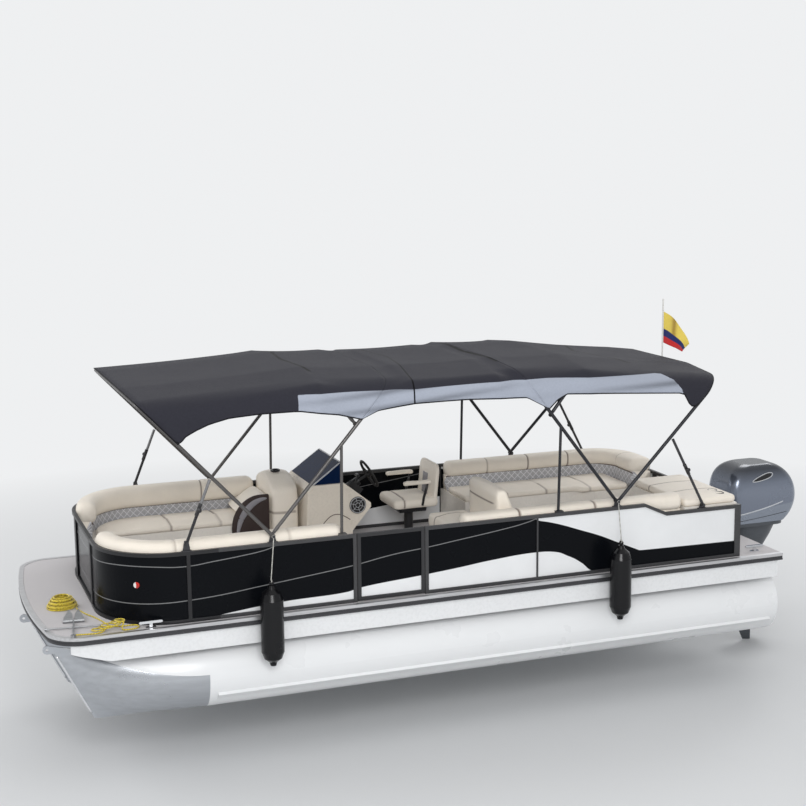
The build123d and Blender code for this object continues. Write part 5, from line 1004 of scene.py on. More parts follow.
def build_backrests():
    """Backrests round the fence: quilted band below, cream roll above with sewn seams, piping between."""
    inner_y = 0.50
    for (word, side), aft, seams in zip(SIDES, (1.066, 1.303), ((1.56, 2.56), (1.85, 3.55))):
        shape = {"round_end": 0.10, "power": 2.7, "seams": [x - aft for x in seams]}
        _, edge, _ = fence_path(0.176, aft + 0.01, inner_y + 0.01, 120, side)
        build_backrest(
            f"bow_{word}", ((fence_path(0.128, aft, inner_y, 170, side), 1.174, 0.188, 0.212), shape),
            (fence_path(0.100, aft, inner_y, 120, side), 1.018, 0.130, 0.180), edge, 1.078,
            [f"backrests_{word}"])
    rows = [
        (-2.338, -0.062, [-0.625, -1.01, -1.395, -2.14], 0.0),
        (-2.616, -0.782, [-1.25, -1.72, -2.2], 0.36),
    ]
    for (word, side), (aft, front, seams, turn_in) in zip(SIDES, rows):
        s, line, inward, deep = aft_path(aft, front, side, turn_in)
        places = [front - x for x in seams] + ([s[-1] - 0.34] if turn_in else [])
        shape = {"round_end": 0.07, "power": 2.8, "seams": places}
        build_backrest(
            f"aft_{word}", (((s, line, inward), 1.166, deep + 0.022, 0.164), shape),
            ((s, line - inward * 0.004, inward), 1.020, deep - 0.022, 0.170),
            line + inward * (deep / 2 - 0.022)[:, None], 1.094)


def aft_path(aft, front, side, turn_in):
    """Lengths, points, inward directions and depths of an aft backrest, from its front end aft along the
    fence. With turn_in it rounds the stern corner by that radius and runs to the stern gate, growing
    deeper."""
    centre_y = FENCE_HALF - 0.134
    deep = 0.154
    if not turn_in:
        s = np.linspace(0, front - aft, 110)
        line = np.stack([front - s, np.full_like(s, centre_y * side)], axis=1)
        return s, line, np.tile([0.0, -1.0 * side], (len(s), 1)), np.full_like(s, deep)
    corner_x = turn_in - 2.775
    straight, arc = front - corner_x, turn_in * math.pi / 2
    across = centre_y - turn_in - 0.412
    s = np.linspace(0, straight + arc + across, 180)
    turn = np.clip((s - straight) / turn_in, 0, math.pi / 2)
    x = np.where(s < straight, front - s, corner_x - turn_in * np.sin(turn))
    y = centre_y - turn_in + turn_in * np.cos(turn) - np.maximum(s - straight - arc, 0)
    inward = np.stack([np.sin(turn), -np.cos(turn) * side], axis=1)
    return s, np.stack([x, y * side], axis=1), inward, deep + 0.10 * (turn / (math.pi / 2)) ** 1.5


# Axes of a cushion that stands on its side: along the boat, up, and across to starboard
ON_SIDE = ((1, 0, 0), (0, 0, 1), (0, -1, 0))
# Cup holders: (radius, height) round a sunk floor
TOWER_CUP = [
    (0.0, -0.008), (0.034, -0.008), (0.036, 0.004), (0.046, 0.006), (0.049, 0.0), (0.046, -0.012),
    (0.0, -0.013)]
STERN_CUP = [
    (0.0, -0.002), (0.036, -0.002), (0.038, 0.005), (0.046, 0.007), (0.050, 0.0), (0.048, -0.01),
    (0.0, -0.011)]


def build_tower():
    """Tower backrest behind the starboard bow lounge with a cup holder in its top, and the lounge's leaning
    back with its moulded end panel."""
    turn = np.linspace(0, 1, 14)
    crest = [(-1.150 + 0.68 * t, 1.272 - 0.02 * t + 0.112 * math.sin(math.pi * t) ** 0.75) for t in turn]
    outline = [(-0.470, 0.581), (-1.150, 0.581), *crest]
    place_pad(
        "tower_back", outline[::-1], ((-0.81, 0.85), (-0.81, 1.08)), 1.002, 1.298, fill=0.8,
        replaced=["tower_backrest"], crown=0.03, edge=0.055, radius=0.09,
        axes=((0, 1, 0), (0, 0, 1), (1, 0, 0)), channels=[(Y, 1.02, 0.006)])
    lean = [(1.302, 1.040), (1.302, 1.212), (1.368, 1.212), (1.626, 1.040)]
    place_pad(
        "lounge_back", lean[::-1], ((1.36, 1.09), (1.45, 1.075)), 0.496, 1.002, fill=0.8, crown=0.02,
        edge=0.03, axes=ON_SIDE)
    turn = np.linspace(0, math.pi / 2, 18)
    arc = [(1.39 + 0.288 * math.sin(t), 0.905 + 0.318 * math.cos(t)) for t in turn]
    outline = [(1.302, 0.675), (1.302, 1.223), *arc, (1.678, 0.675)]
    panel = pad(
        "lounge_end_panel", outline[::-1], ((1.46, 0.85), (1.46, 0.98)), 0.4722, 0.484, crown=0.002,
        edge=0.004, radius=0.02, axes=ON_SIDE)
    settle(panel, HULL, "brown")
    face_y = -0.4715
    t = np.linspace(0, 1, 40)
    sweep = np.stack([
        1.325 + 0.30 * np.sin(t * 1.45), np.full(40, face_y), 0.74 + 0.44 * np.cos(t * 1.35)], axis=1)
    curve = tube("lounge_end_curve", sweep, 0.006 + 0.026 * np.sin(math.pi * t) ** 0.7, sides=12)
    to_face = Matrix.Translation((0, face_y, 0))
    curve.data.transform(to_face @ Matrix.Scale(0.18, 4, (0, 1, 0)) @ to_face.inverted())
    settle(curve, HULL, "grey")
    holder = turned("tower_cup_holder", TOWER_CUP, (1.15, -0.78, 1.385), (0, 0, 1))
    settle(holder, HULL, "black")


def build_chaise():
    """Chaise at the front of the port bench: deep seat and leaning back with a dark inlay."""
    place_pad(
        "chaise_seat", box_outline(-0.453, -0.062, 0.272, BENCH_OUTER), ((-0.2575, 0.48), (-0.2575, 0.8)),
        SEAT_BASE, 1.095, fill=0.8, replaced=["chaise"], edge=0.045, crown=0.02,
        channels=[(Y, 0.45, 0.007), (Y, 0.84, 0.007)])
    outline = [(-0.459, 0.937), (-0.459, 1.37), (-0.495, 1.425), (-0.58, 1.415), (-0.783, 0.937)]
    place_pad(
        "chaise_back", outline[::-1], ((-0.55, 1.05), (-0.52, 1.28)), -0.994, -0.282, fill=0.8, crown=0.03,
        edge=0.04, radius=0.045, axes=ON_SIDE, channels=[(Y, 1.27, 0.008)])
    t = np.linspace(0, 1, 30)
    face = np.stack([-0.5 - 0.235 * (1 - t), np.full_like(t, 0.286), 0.965 + 0.40 * t], axis=1)
    inlay = tube("chaise_inlay", face, 0.017 * np.sin(math.pi * (0.14 + 0.72 * t)) ** 0.7, sides=10)
    settle(inlay, HULL, "piping")


def build_sun_pad():
    """Sun pad over the port stern locker, with two cup holders near its aft port corner."""
    place_pad(
        "sun_cushion", box_outline(-2.916, -2.344, 0.168, 1.184), ((-2.63, 0.45), (-2.63, 0.9)), 1.116, 1.198,
        replaced=["sun_pad"], crown=0.012, channels=[(Y, 0.50, 0.006), (Y, 0.85, 0.006)])
    for k, y in enumerate((1.06, 0.94)):
        made = turned(f"stern_cup_holder_{k + 1}", STERN_CUP, (-2.80, y, 1.188), (0, 0, 1))
        settle(made, HULL, "black")


# Arm bracket of the captain's seat: (distance aft of the seat's middle, distance out, Z)
ARM_BRACKET = [(0.06, 0.249, 0.960), (0.075, 0.255, 1.05), (0.10, 0.258, 1.13), (0.115, 0.258, 1.19)]


def build_helm_seat():
    """Captain's seat: cushion, curved back with a grey centre, arm pads on bent brackets, base box."""
    body = "helm_seat"
    x0, y0 = -0.230, -0.700
    place_pad(
        "helm_cushion", box_outline(x0 - 0.243, x0 + 0.243, y0 - 0.248, y0 + 0.248),
        ((x0, y0 - 0.06), (x0, y0 + 0.06)), 0.932, 1.050, body=body, fill=0.8, replaced=["helm_seat"],
        edge=0.05, crown=0.022, radius=0.07, channels=[(X, x0 + 0.13, 0.008)])
    lean = Vector((-0.0375, 0, 0.36)).normalized()
    axes = ((0, 1, 0), tuple(lean), tuple(Vector((0, 1, 0)).cross(lean)))
    back = [(-0.233, 0.0), (-0.233, 0.33), (-0.19, 0.385), (0.19, 0.385), (0.233, 0.33), (0.233, 0.0)]
    centre = [(-0.11, 0.03), (-0.11, 0.30), (0.11, 0.30), (0.11, 0.03)]
    for name, vinyl, outline, low, high, spine in (
            ("helm_back", "cream", back, 0.0, 0.062, ((0, 0.14), (0, 0.24))),
            ("helm_back_centre", "grey", centre, 0.042, 0.071, ((0, 0.11), (0, 0.22)))):
        place_pad(
            name, outline[::-1], spine, low, high, body=body, look=vinyl, fill=0.8,
            origin=(x0 - 0.225, y0, 0.975), crown=0.02, edge=0.02, radius=0.04, axes=axes)
    for word, way in SIDES:
        arm_y = y0 + way * 0.262
        place_pad(
            f"helm_arm_{word}", box_outline(x0 - 0.148, x0 + 0.148, arm_y - 0.023, arm_y + 0.023),
            ((x0 - 0.1, arm_y), (x0 + 0.1, arm_y)), 1.184, 1.226, body=body, fill=0.9, edge=0.012,
            crown=0.008, radius=0.02)
        bracket = [(x0 - behind, y0 + way * out, z) for behind, out, z in ARM_BRACKET]
        settle(tube(f"helm_arm_bracket_{word}", bracket, 0.013, sides=12), body, "black")
    base = pad(
        "helm_base", box_outline(x0 - 0.148, x0 + 0.148, y0 - 0.148, y0 + 0.148),
        ((x0 - 0.02, y0), (x0 + 0.02, y0)), 0.872, 0.934, crown=0.004, edge=0.01, radius=0.02)
    settle(base, body, "black")


# How far the cloth lies outside the bows' centre lines
CANOPY_GROW = 0.0190
# Sections of the sun top: pivot or upright's place, lean in degrees, half width, lower end, height, corner
# radius
SECTIONS = {
    "front_end": (FRONT_PIVOT, 47.2, 1.220, 1.14, 1.692, 0.226),
    "front_ridge": ((1.2704, 0.0), 90.0, 1.220, 2.20, 2.588, 0.140),
    "front_inner": (FRONT_PIVOT, 131.0, 1.176, 1.14, 1.720, 0.226),
    "zip": ((0.400, 0.0), 90.0, 1.176, 2.20, 2.552, 0.140),
    "middle": ((-0.420, 0.0), 90.0, 1.176, 2.20, 2.556, 0.140),
    "rear_inner": (REAR_PIVOT, 52.4, 1.176, 1.08, 1.660, 0.226),
    "rear_ridge": ((-1.297, 0.0), 90.0, 1.220, 2.15, 2.554, 0.140),
    "rear_end": (REAR_PIVOT, 134.0, 1.220, 1.06, 1.585, 0.226),
}
# Lower edge of the cloth, and upper edge of its silver valance: (X, Z) from the stern forward, metres
EDGE = [
    (-2.80, 2.095), (-2.352, 2.099), (-2.278, 2.228), (-1.811, 2.257), (-1.395, 2.285), (-1.080, 2.297),
    (-0.989, 2.248), (-0.909, 2.171), (-0.690, 2.287), (-0.104, 2.309), (0.398, 2.312), (0.742, 2.272),
    (0.898, 2.207), (1.106, 2.263), (1.470, 2.324), (1.811, 2.323), (2.070, 2.308), (2.242, 2.270),
    (2.370, 2.220), (2.455, 2.176), (2.499, 2.121), (2.95, 2.118),
]
VALANCE_TOP = [
    (-2.32, 2.12), (-2.278, 2.25), (-2.2, 2.36), (-2.092, 2.417), (-0.907, 2.455), (-0.269, 2.452),
    (0.406, 2.440), (1.466, 2.470),
]
VALANCE_ENDS = (-2.30, 1.474)
# Sewn lines across the cloth: (X on the centreline, X per metre of Y, half length, half width). The third
# joins two cloths.
CANOPY_SEAMS = [
    (1.283, -0.096, 0.72, 0.016), (-0.551, -0.064, 0.72, 0.016), (0.225, 0.150, 1.3, 0.007),
    (-1.742, -0.336, 0.72, 0.016),
]


def half_arch(half, low, high, corner, grow, count=160):
    """Half of a bow's outline from the crown's middle down to the lower end, with rounded corners, by even
    steps: (distance from the centreline, height in the bow's plane)."""
    crown_half, rise = half * 0.45, 0.070
    run = half - crown_half
    length = math.hypot(run, rise)
    slope = rise / run
    start_v = high - rise + grow * run / length
    start_y = half + grow * rise / length
    side = half + grow
    shoulder = start_v - (side - start_y) * slope
    top = high + grow
    crown = start_y - (top - start_v) / slope
    corners = np.array([(0.0, top), (crown, top), (side, shoulder), (side, low)])
    path = [corners[0]]
    for k in (1, 2):
        before = corners[k - 1] - corners[k]
        after = corners[k + 1] - corners[k]
        before /= np.linalg.norm(before)
        after /= np.linalg.norm(after)
        opening = math.acos(np.clip(before @ after, -1, 1))
        reach = corner / math.tan(opening / 2)
        bisector = (before + after) / np.linalg.norm(before + after)
        centre = corners[k] + bisector * corner / math.sin(opening / 2)
        start, end = corners[k] + before * reach - centre, corners[k] + after * reach - centre
        turn = math.acos(np.clip(start @ end / corner ** 2, -1, 1))
        for share in np.linspace(0, 1, 40):
            mixed = start * math.sin((1 - share) * turn) + end * math.sin(share * turn)
            path.append(centre + mixed / math.sin(turn))
    path.append(corners[3])
    path = np.array(path)
    run = run_length(path)
    even = np.linspace(0, run[-1], count)
    return np.stack([np.interp(even, run, path[:, k]) for k in (0, 1)], axis=1)


def section_points(key):
    """A section's half outline in the boat's frame, crown to lower end."""
    (px, pz), lean, half, low, high, corner = SECTIONS[key]
    across, up = half_arch(half, low, high, corner, CANOPY_GROW).T
    angle = math.radians(lean)
    return np.stack([px + up * math.cos(angle), across, pz + up * math.sin(angle)], axis=1)


def canopy_rows(keys, steps, sag):
    """Half rows of cloth, crown to lower end, from section to section: each a blend of the two, with its
    sides and crown drawn in between them."""
    outlines = [section_points(k) for k in keys]
    rows = []
    for k in range(len(keys) - 1):
        for t in np.linspace(0, 1, steps + 1)[(1 if k else 0):]:
            row = outlines[k] * (1 - t) + outlines[k + 1] * t
            pull = sag * math.sin(math.pi * t)
            row[:, Z] -= pull * 0.55 * np.linspace(1, 0, len(row)) ** 0.5
            row[:, Y] -= pull * 0.8 * np.linspace(0, 1, len(row)) ** 1.5
            rows.append(row)
    return rows


def cut_row(row, columns=61):
    """A half row cut where the scalloped lower edge crosses it, and divided evenly by its own points."""
    over = row[:, Z] - np.interp(row[:, X], *np.transpose(EDGE))
    last = np.argmax(over < 0) if (over < 0).any() else len(row) - 1
    reach = last - 1 + over[last - 1] / max(over[last - 1] - over[last], 1e-9) if over[last] < 0 else last
    even = np.linspace(0, reach, columns)
    return np.stack([np.interp(even, np.arange(len(row)), row[:, a]) for a in (X, Y, Z)], axis=1)


def canopy_sheet(name, keys, steps, sag, bound_ends):
    """Cloth stretched over the bows, from its half rows and their mirror image. Folds push the silver valance
    out. Returns the piece, its width, length and area."""
    half = np.array([cut_row(row) for row in canopy_rows(keys, steps, sag)])
    grid = np.concatenate([half[:, :0:-1, :] * np.array([1, -1, 1]), half], axis=1)
    count = grid.shape[1]
    x, y, z = (grid[:, :, a].copy() for a in (X, Y, Z))
    depth = np.interp(x, *np.transpose(VALANCE_TOP)) - z
    valance = np.minimum(depth, np.minimum(x - VALANCE_ENDS[0], VALANCE_ENDS[1] - x))
    # The fold value pushes the valance out and also, through the cloth's material, paints shade in its
    # troughs
    ridges = (0.5 + 0.5 * np.sin(x * 2.6 + z * 46 + 1.2 * np.sin(x * 1.7))) ** 3
    fold = ridges * (0.55 + 0.45 * np.sin(x * 2.3 + 0.6))
    grid[:, :, Y] += np.sign(y) * 0.011 * fold * np.clip(valance / 0.03, 0, 1)
    columns = np.arange(count)
    step = np.linalg.norm(grid[:, 1] - grid[:, 0], axis=1)
    binding = np.minimum(columns, count - 1 - columns) * step[:, None]
    for end in bound_ends:
        binding = np.minimum(binding, np.linalg.norm(grid - grid[end], axis=2))
    marks = {"along": x, "across": grid[:, :, Y], "fold": fold, "valance": valance, "binding": binding}
    made = two_sided(name, grid, 0.0045, marks)
    area = cloth_area(grid)
    width = max(run_length(row)[-1] for row in grid)
    return made, width, max(run_length(grid[:, count // 2])[-1], area / width), area


def build_canopies():
    """Three cloths over the bows: the end ones bend with their end bows, the middle one stays between the
    fixed bows."""
    sag = bpy.context.scene.boat_sizes.canopy_sag
    rows = [
        ("front", ["front_inner", "front_ridge", "front_end"], 22, [-1],
         ["front_fixed_bow", "front_mid_bow", "front_end_bow"], ("front_end_bow", 0.60, 2.80)),
        ("middle", ["rear_inner", "middle", "zip", "front_inner"], 16, [],
         ["front_fixed_bow", "rear_fixed_bow"], None),
        ("rear", ["rear_end", "rear_ridge", "rear_inner"], 22, [0],
         ["rear_fixed_bow", "rear_mid_bow", "rear_end_bow"], ("rear_end_bow", -0.60, -2.66)),
    ]
    for word, keys, steps, ends, bows, bend in rows:
        made, width, length, area = canopy_sheet(f"canopy_cloth_{word}", keys, steps, sag, ends)
        settle(made, None if bend else HULL, "canopy")
        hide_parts(f"canopy_{word}")
        if bend:
            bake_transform(made)


def build_flag():
    """Small flag on its staff, hanging in folds. Rows run down the hoist, columns out along the fly."""
    hoist, rows, columns = 0.316, 30, 44
    s = np.linspace(0, 1, columns)[None, :, None]
    t = np.linspace(0, 1, rows)[:, None, None]
    head, foot, fly_top, fly_foot, bulge = (np.array([x, 0.0, z]) for x, z in (
        (-2.752, 2.858), (-2.752, 2.542), (-3.046, 2.515), (-2.988, 2.432), (-2.95, 2.765)))
    upper = head * (1 - s) ** 2 + bulge * 2 * s * (1 - s) + fly_top * s ** 2
    lower = foot * (1 - s) + fly_foot * s
    grid = upper * (1 - t) + lower * t
    s, t = s[:, :, 0], t[:, :, 0]
    grid[:, :, Y] = 0.030 + 0.022 * np.sin(s * 8.5 + t * 3.0) * s ** 0.6
    # The crease mark places the painted shade of the flag's fold
    marks = {"band": t * 0.62 + 0.38 * t ** 1.4, "crease_shade": np.exp(-((s - 0.35 - 0.15 * t) / 0.10) ** 2)}
    made = settle(two_sided("flag_sheet", grid, 0.0016, marks), "rear_end_bow", "flag")
    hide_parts("flag")


# Ropes

def spline_cord(name, points, radius, resolution=6):
    """One open curve with round section through control points."""
    curve = bpy.data.curves.new(name, "CURVE")
    curve.dimensions = "3D"
    curve.bevel_depth = radius
    curve.bevel_resolution = 3
    curve.resolution_u = resolution
    curve.use_fill_caps = True
    line = curve.splines.new("NURBS")
    line.points.add(len(points) - 1)
    line.points.foreach_set("co", np.column_stack([points, np.ones(len(points))]).astype(np.float32).ravel())
    line.order_u = 3
    line.use_endpoint_u = True
    made = bpy.data.objects.new(name, curve)
    bpy.context.scene.collection.objects.link(made)
    return made


# Anchor rope along the deck, metres: from the anchor's ring to the loose loops, and from them to the coil
DECK_ROPE_Z = 0.587
ROPE_START = [(3.4235, 1.231, 0.5963), (3.385, 1.216, 0.589), (3.312, 1.222, DECK_ROPE_Z)]
ROPE_ROUTE = [
    (3.052, 1.222), (2.968, 1.227), (2.912, 1.212), (2.885, 1.168), (2.905, 1.124), (2.958, 1.112),
    (3.040, 1.118), (3.104, 1.088), (3.136, 1.030), (3.148, 0.955), (3.170, 0.880), (3.196, 0.806),
    (3.224, 0.738), (3.256, 0.676), (3.275, 0.62),
]
# The coil's turns: (radius, layer)
COIL = [
    (0.137, 0), (0.122, 0), (0.107, 0), (0.092, 0), (0.077, 1), (0.092, 1), (0.107, 1), (0.122, 1),
    (0.128, 2), (0.113, 2), (0.098, 2), (0.083, 2), (0.072, 3), (0.088, 3), (0.103, 3), (0.112, 4),
    (0.097, 4), (0.082, 4), (0.066, 5), (0.082, 5), (0.094, 6), (0.079, 6), (0.064, 7), (0.07, 7),
]


def coil_points(centre, radii, start_angle, floor, wobble, per_turn=16):
    """Turns of rope about a centre: each entry of radii is (radius, layer), one turn long, blending to the
    next."""
    angles = start_angle + np.arange(len(radii) * per_turn) * 2 * math.pi / per_turn
    share = np.arange(len(radii) * per_turn) / per_turn
    values = np.array(radii + radii[-1:], float)
    radius = np.interp(share, np.arange(len(values)), values[:, 0])
    layer = np.interp(share, np.arange(len(values)), values[:, 1])
    radius = radius * (1 + wobble * np.sin(2 * angles + 0.6) + 0.6 * wobble * np.sin(3 * angles))
    x, y = centre[0] + radius * np.cos(angles), centre[1] + radius * np.sin(angles)
    return np.stack([x, y, floor + layer * 0.0128], axis=1)


def loose_loops(start, end, radius, turns, floor, rise=0.016, per_turn=14):
    """Overlapping turns of rope laid from one place to another, each lying on the one before."""
    share = np.arange(turns * per_turn + 1) / (turns * per_turn)
    angle = math.pi / 2 + share * turns * 2 * math.pi
    reach = radius * (1 + 0.25 * np.sin(angle * 0.37 + 1.0))
    return np.stack([
        start[0] + (end[0] - start[0]) * share + reach * np.cos(angle),
        start[1] + (end[1] - start[1]) * share + 0.8 * reach * np.sin(angle),
        floor + rise * share * turns], axis=1)


def build_ropes():
    """Anchor rope from the anchor's ring along the deck into its coil, and the two fender lines."""
    loops = loose_loops((3.262, 1.172), (3.020, 1.176), 0.060, 5, DECK_ROPE_Z)
    pile = coil_points((3.425, 0.370), COIL, 2.45, 0.5872, 0.035)
    route = np.vstack([ROPE_START, loops, [(x, y, DECK_ROPE_Z) for x, y in ROPE_ROUTE], pile])
    made = settle(spline_cord("anchor_line", route, 0.006), HULL, "rope")
    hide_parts("anchor_rope", "rope_heap")
    out, rail, line = 1.3953, 1.2365, 0.0045
    for word, x, (px, pz) in (("bow", 1.795, FRONT_PIVOT), ("stern", -1.550, REAR_PIVOT)):
        top = np.array([px, rail - 0.0015, pz - 0.034])
        foot = np.array([x, out, 0.934])
        share = np.linspace(0, 1, 9)[:, None]
        cord = spline_cord(f"fender_line_{word}", foot * (1 - share) + top * share, line)
        settle(cord, HULL, "cordage")
        tail = [(px, rail - 0.0003, pz - 0.009), (px, rail - 0.0007, pz - 0.022), tuple(top)]
        knots = [
            tube(f"fender_loop_{word}", circle((x, out, 0.920), 0.015, (Y, Z), 28), line, closed=True),
            tube(f"fender_hitch_{word}", circle((px, rail, pz), 0.0105, (X, Z), 28), 0.0042, closed=True),
            tube(f"fender_tail_{word}", tail, line),
        ]
        for made in knots:
            settle(made, HULL, "cordage")
    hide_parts("fender_lines")


# Trim

def on_flank(node_name, x, z, side):
    """Point and outward direction where a line across the boat meets a part's flank."""
    hit, spot, normal, _ = NODES[node_name].ray_cast(Vector((x, side * 2.0, z)), Vector((0, -side, 0)))
    if not hit:
        raise RuntimeError(f"no flank of {node_name} at X {x:.3f}, Z {z:.3f}")
    return np.array(spot), np.array(normal)


def skin_patch(name, node_name, outline, side, lift, rings=6):
    """Thin raised piece on a part's flank: rings of points from the outline's middle outwards, each dropped
    across the boat onto the flank. The middle stands off by lift and the border goes just under the skin."""
    centre = outline.mean(axis=0)
    rows = []
    for share in np.linspace(0.08, 1.0, rings):
        off = lift * (1 - share ** 6) - 0.0012 * share ** 6
        spots = [on_flank(node_name, x, z, side) for x, z in centre + (outline - centre) * share]
        rows.append([spot + normal * off for spot, normal in spots])
    return lofted(name, rows)


def skin_band(name, node_name, line, width, side, lift):
    """Thin raised stripe along a line on a part's flank, its two edges just under the skin."""
    run = np.gradient(line, axis=0)
    run /= np.linalg.norm(run, axis=1)[:, None]
    section = [(-0.5, -0.0015), (-0.4, lift), (0.0, lift * 1.2), (0.4, lift), (0.5, -0.0015), (0.0, -0.003)]
    rows = []
    for (x, z), (along_x, along_z) in zip(line, run):
        spots = [
            (on_flank(node_name, x - along_z * across * width, z + along_x * across * width, side), off)
            for across, off in section]
        rows.append([spot + normal * off for (spot, normal), off in spots])
    return lofted(name, rows)


def build_outboard_trim():
    """Air slots with their rims and the light stripe and the dark seam on the cowl's flanks."""
    body = "motor_steer"
    turn = np.linspace(0, FULL_TURN, 40, endpoint=False)
    wide = squared(np.cos(turn), 0.9) * 0.125
    high = np.sin(turn) * 0.024 * (1 - 0.35 * np.cos(turn))
    tilt = math.radians(-14)
    slot = np.stack([
        -3.845 + wide * math.cos(tilt) - high * math.sin(tilt),
        1.078 + wide * math.sin(tilt) + high * math.cos(tilt)], axis=1)
    middle = slot.mean(axis=0)
    t = np.linspace(0, 1, 36)
    stripe = np.stack([-3.56 - 0.53 * t, 0.700 + 0.075 * t + 0.035 * t ** 2.5], axis=1)
    seam = np.stack([-3.52 - 0.62 * t, 0.628 + 0.045 * t + 0.02 * t ** 2], axis=1)
    for word, side in SIDES:
        settle(skin_patch(f"air_slot_{word}", "cowl", slot, side, 0.002), body, "slot")
        rim = [on_flank("cowl", x, z, side)[0] for x, z in middle + (slot - middle) * 1.04]
        settle(tube(f"air_slot_rim_{word}", rim, 0.0045, sides=8, closed=True), body, "silver")
        made = skin_band(f"cowl_stripe_{word}", "cowl", stripe, 0.014, side, 0.0012)
        settle(made, body, "stripe")
        made = skin_band(f"cowl_seam_{word}", "cowl", seam, 0.007, side, 0.0006)
        settle(made, body, "slot")


def build_stem_strips():
    """Bright half-round bar down the stem of each tube."""
    for word, y in (("port", 0.950), ("centre", 0.0), ("starboard", -0.950)):
        line = []
        for z in np.linspace(-0.20, 0.34, 28):
            hit, spot, _, _ = NODES[f"tube_{word}"].ray_cast(Vector((5.0, y, z)), Vector((-1, 0, 0)))
            if hit:
                line.append(np.array(spot) - np.array((0.004, 0, 0)))
        settle(tube(f"stem_strip_{word}", line, 0.011, sides=12), HULL, "chrome")


# Sections of the outboard's apron: height, front, rear, half width, power of the superellipse
APRON = [
    (0.598, -3.60, -4.155, 0.178, 2.6), (0.52, -3.61, -4.135, 0.168, 2.5), (0.42, -3.63, -4.09, 0.150, 2.4),
    (0.32, -3.65, -4.03, 0.128, 2.3), (0.22, -3.67, -3.96, 0.106, 2.2), (0.14, -3.68, -3.90, 0.090, 2.0),
]


def build_leg_apron():
    """Apron under the outboard's pan: superellipse sections from the pan down along the leg."""
    levels, *values = np.transpose(APRON)
    z = np.linspace(levels[0], levels[-1], 30)
    front, rear, half, power = (np.interp(-z, -levels, row)[:, None] for row in values)
    t = np.linspace(0, FULL_TURN, 48, endpoint=False)
    x = (front + rear) / 2 + (front - rear) / 2 * squared(np.cos(t), 2 / power)
    y = half * squared(np.sin(t), 2 / power)
    rings = np.stack([x, y, np.broadcast_to(z[:, None], x.shape)], axis=2)
    settle(lofted("leg_apron", rings), "motor_steer", "leg")


# Speaker rings: (radius, wire's radius, distance out)
SPEAKER_RINGS = [(0.076, 0.0035, 0.008), (0.047, 0.002, 0.0065), (0.022, 0.0022, 0.0065)]


def build_speaker():
    """Speaker on the console's port cheek: cone, dust cap, rings and spokes."""
    x, y, z = 0.452, -0.295, 1.070
    cone = [
        (0.0, 0.004), (0.012, 0.005), (0.018, 0.0005), (0.060, 0.0035), (0.066, 0.0055), (0.0675, -0.003),
        (0.0, -0.004)]
    settle(turned("speaker_cone", cone, (x, y, z), (0, 1, 0), count=48), HULL, "rubber")
    for k, (radius, wire, lift) in enumerate(SPEAKER_RINGS):
        ring = circle((x, y + lift, z), radius, (X, Z), 48)
        made = tube(f"speaker_ring_{k + 1}", ring, wire, sides=8, closed=True)
        settle(made, HULL, "silver")
    reach = np.linspace(0.022, 0.072, 6)
    for k in range(6):
        angle = k * math.pi / 3 + 0.26
        ahead, above = reach * math.cos(angle), reach * math.sin(angle)
        spoke = np.stack([x + ahead, np.full(6, y + 0.0065), z + above], axis=1)
        settle(tube(f"speaker_spoke_{k + 1}", spoke, 0.0022, sides=6), HULL, "silver")


def build_fittings():
    """Trim on the helm and the sun top: screen rail, console lines, sleeves and knobs on the struts."""
    half_rail = [
        (0.892, -0.332, 1.302), (0.75, -0.332, 1.404), (0.617, -0.336, 1.500), (0.612, -0.36, 1.508),
        (0.612, -0.69, 1.508)]
    rail = half_rail + [(x, -1.38 - y, z) for x, y, z in half_rail[-2::-1]]
    settle(tube("screen_rail", rail, 0.007), HULL, "silver")
    t = np.linspace(0, 1, 40)
    for k, y in enumerate((-0.299, -1.081)):
        height = 0.93 - 0.22 * t + 0.16 * np.sin(math.pi * t)
        curve = np.stack([0.53 + 0.40 * t, np.full(40, y), height], axis=1)
        settle(tube(f"console_line_{k + 1}", curve, 0.004, sides=8), HULL, "piping")
    profile = [
        (0.0, 0.0), (0.011, 0.0), (0.011, 0.012), (0.019, 0.014), (0.020, 0.026), (0.017, 0.030),
        (0.0, 0.031)]
    for top, x, z, lean in (("front", 2.360, 1.554, 112.0), ("rear", -2.335, 1.496, 62.7)):
        run = np.array([math.cos(math.radians(lean)), 0, math.sin(math.radians(lean))])
        for word, way in SIDES:
            middle = np.array([x, 1.220 * way, z])
            line = middle + run * np.linspace(-0.055, 0.055, 8)[:, None]
            sleeve = tube(f"{top}_sleeve_{word}", line, 0.017, sides=20)
            foot = middle + np.array([0, 0.012 * way, 0])
            knob = turned(f"{top}_knob_{word}", profile, foot, (0, way, 0), count=24)
            for made in (sleeve, knob):
                settle(made, f"{top}_strut", "black")


# Stage

def build_floor(look, middle, floor_z):
    """Pale floor that keeps the boat's shadow near it and glows as the backdrop far off."""
    half = 60.0
    corners = ((-1, -1), (1, -1), (1, 1), (-1, 1))
    points = [(middle.x + a * half, middle.y + b * half, floor_z) for a, b in corners]
    floor = make_mesh("studio_floor", points, [(0, 1, 2, 3)])
    made, tree, shader = new_material("studio_floor", Roughness=0.9, Specular_IOR_Level=0.0)
    from_boat = node(tree, "ShaderNodeVectorMath", {
        0: on_boat(tree), 1: (middle.x, middle.y, floor_z)}, operation="DISTANCE")
    far = fitted(tree, from_boat.outputs["Value"], 5.5, 12.0)
    near = toned(tree, noise(tree, 0.3, 1.0), tuple(look.floor_colour), 0.985, 1.0)
    finish(tree, shader, Base_Color=blend_colour(tree, far, near, (0.0, 0.0, 0.0)),
           Emission_Color=(*look.backdrop_colour, 1.0), Emission_Strength=far)
    floor.data.materials.append(made)


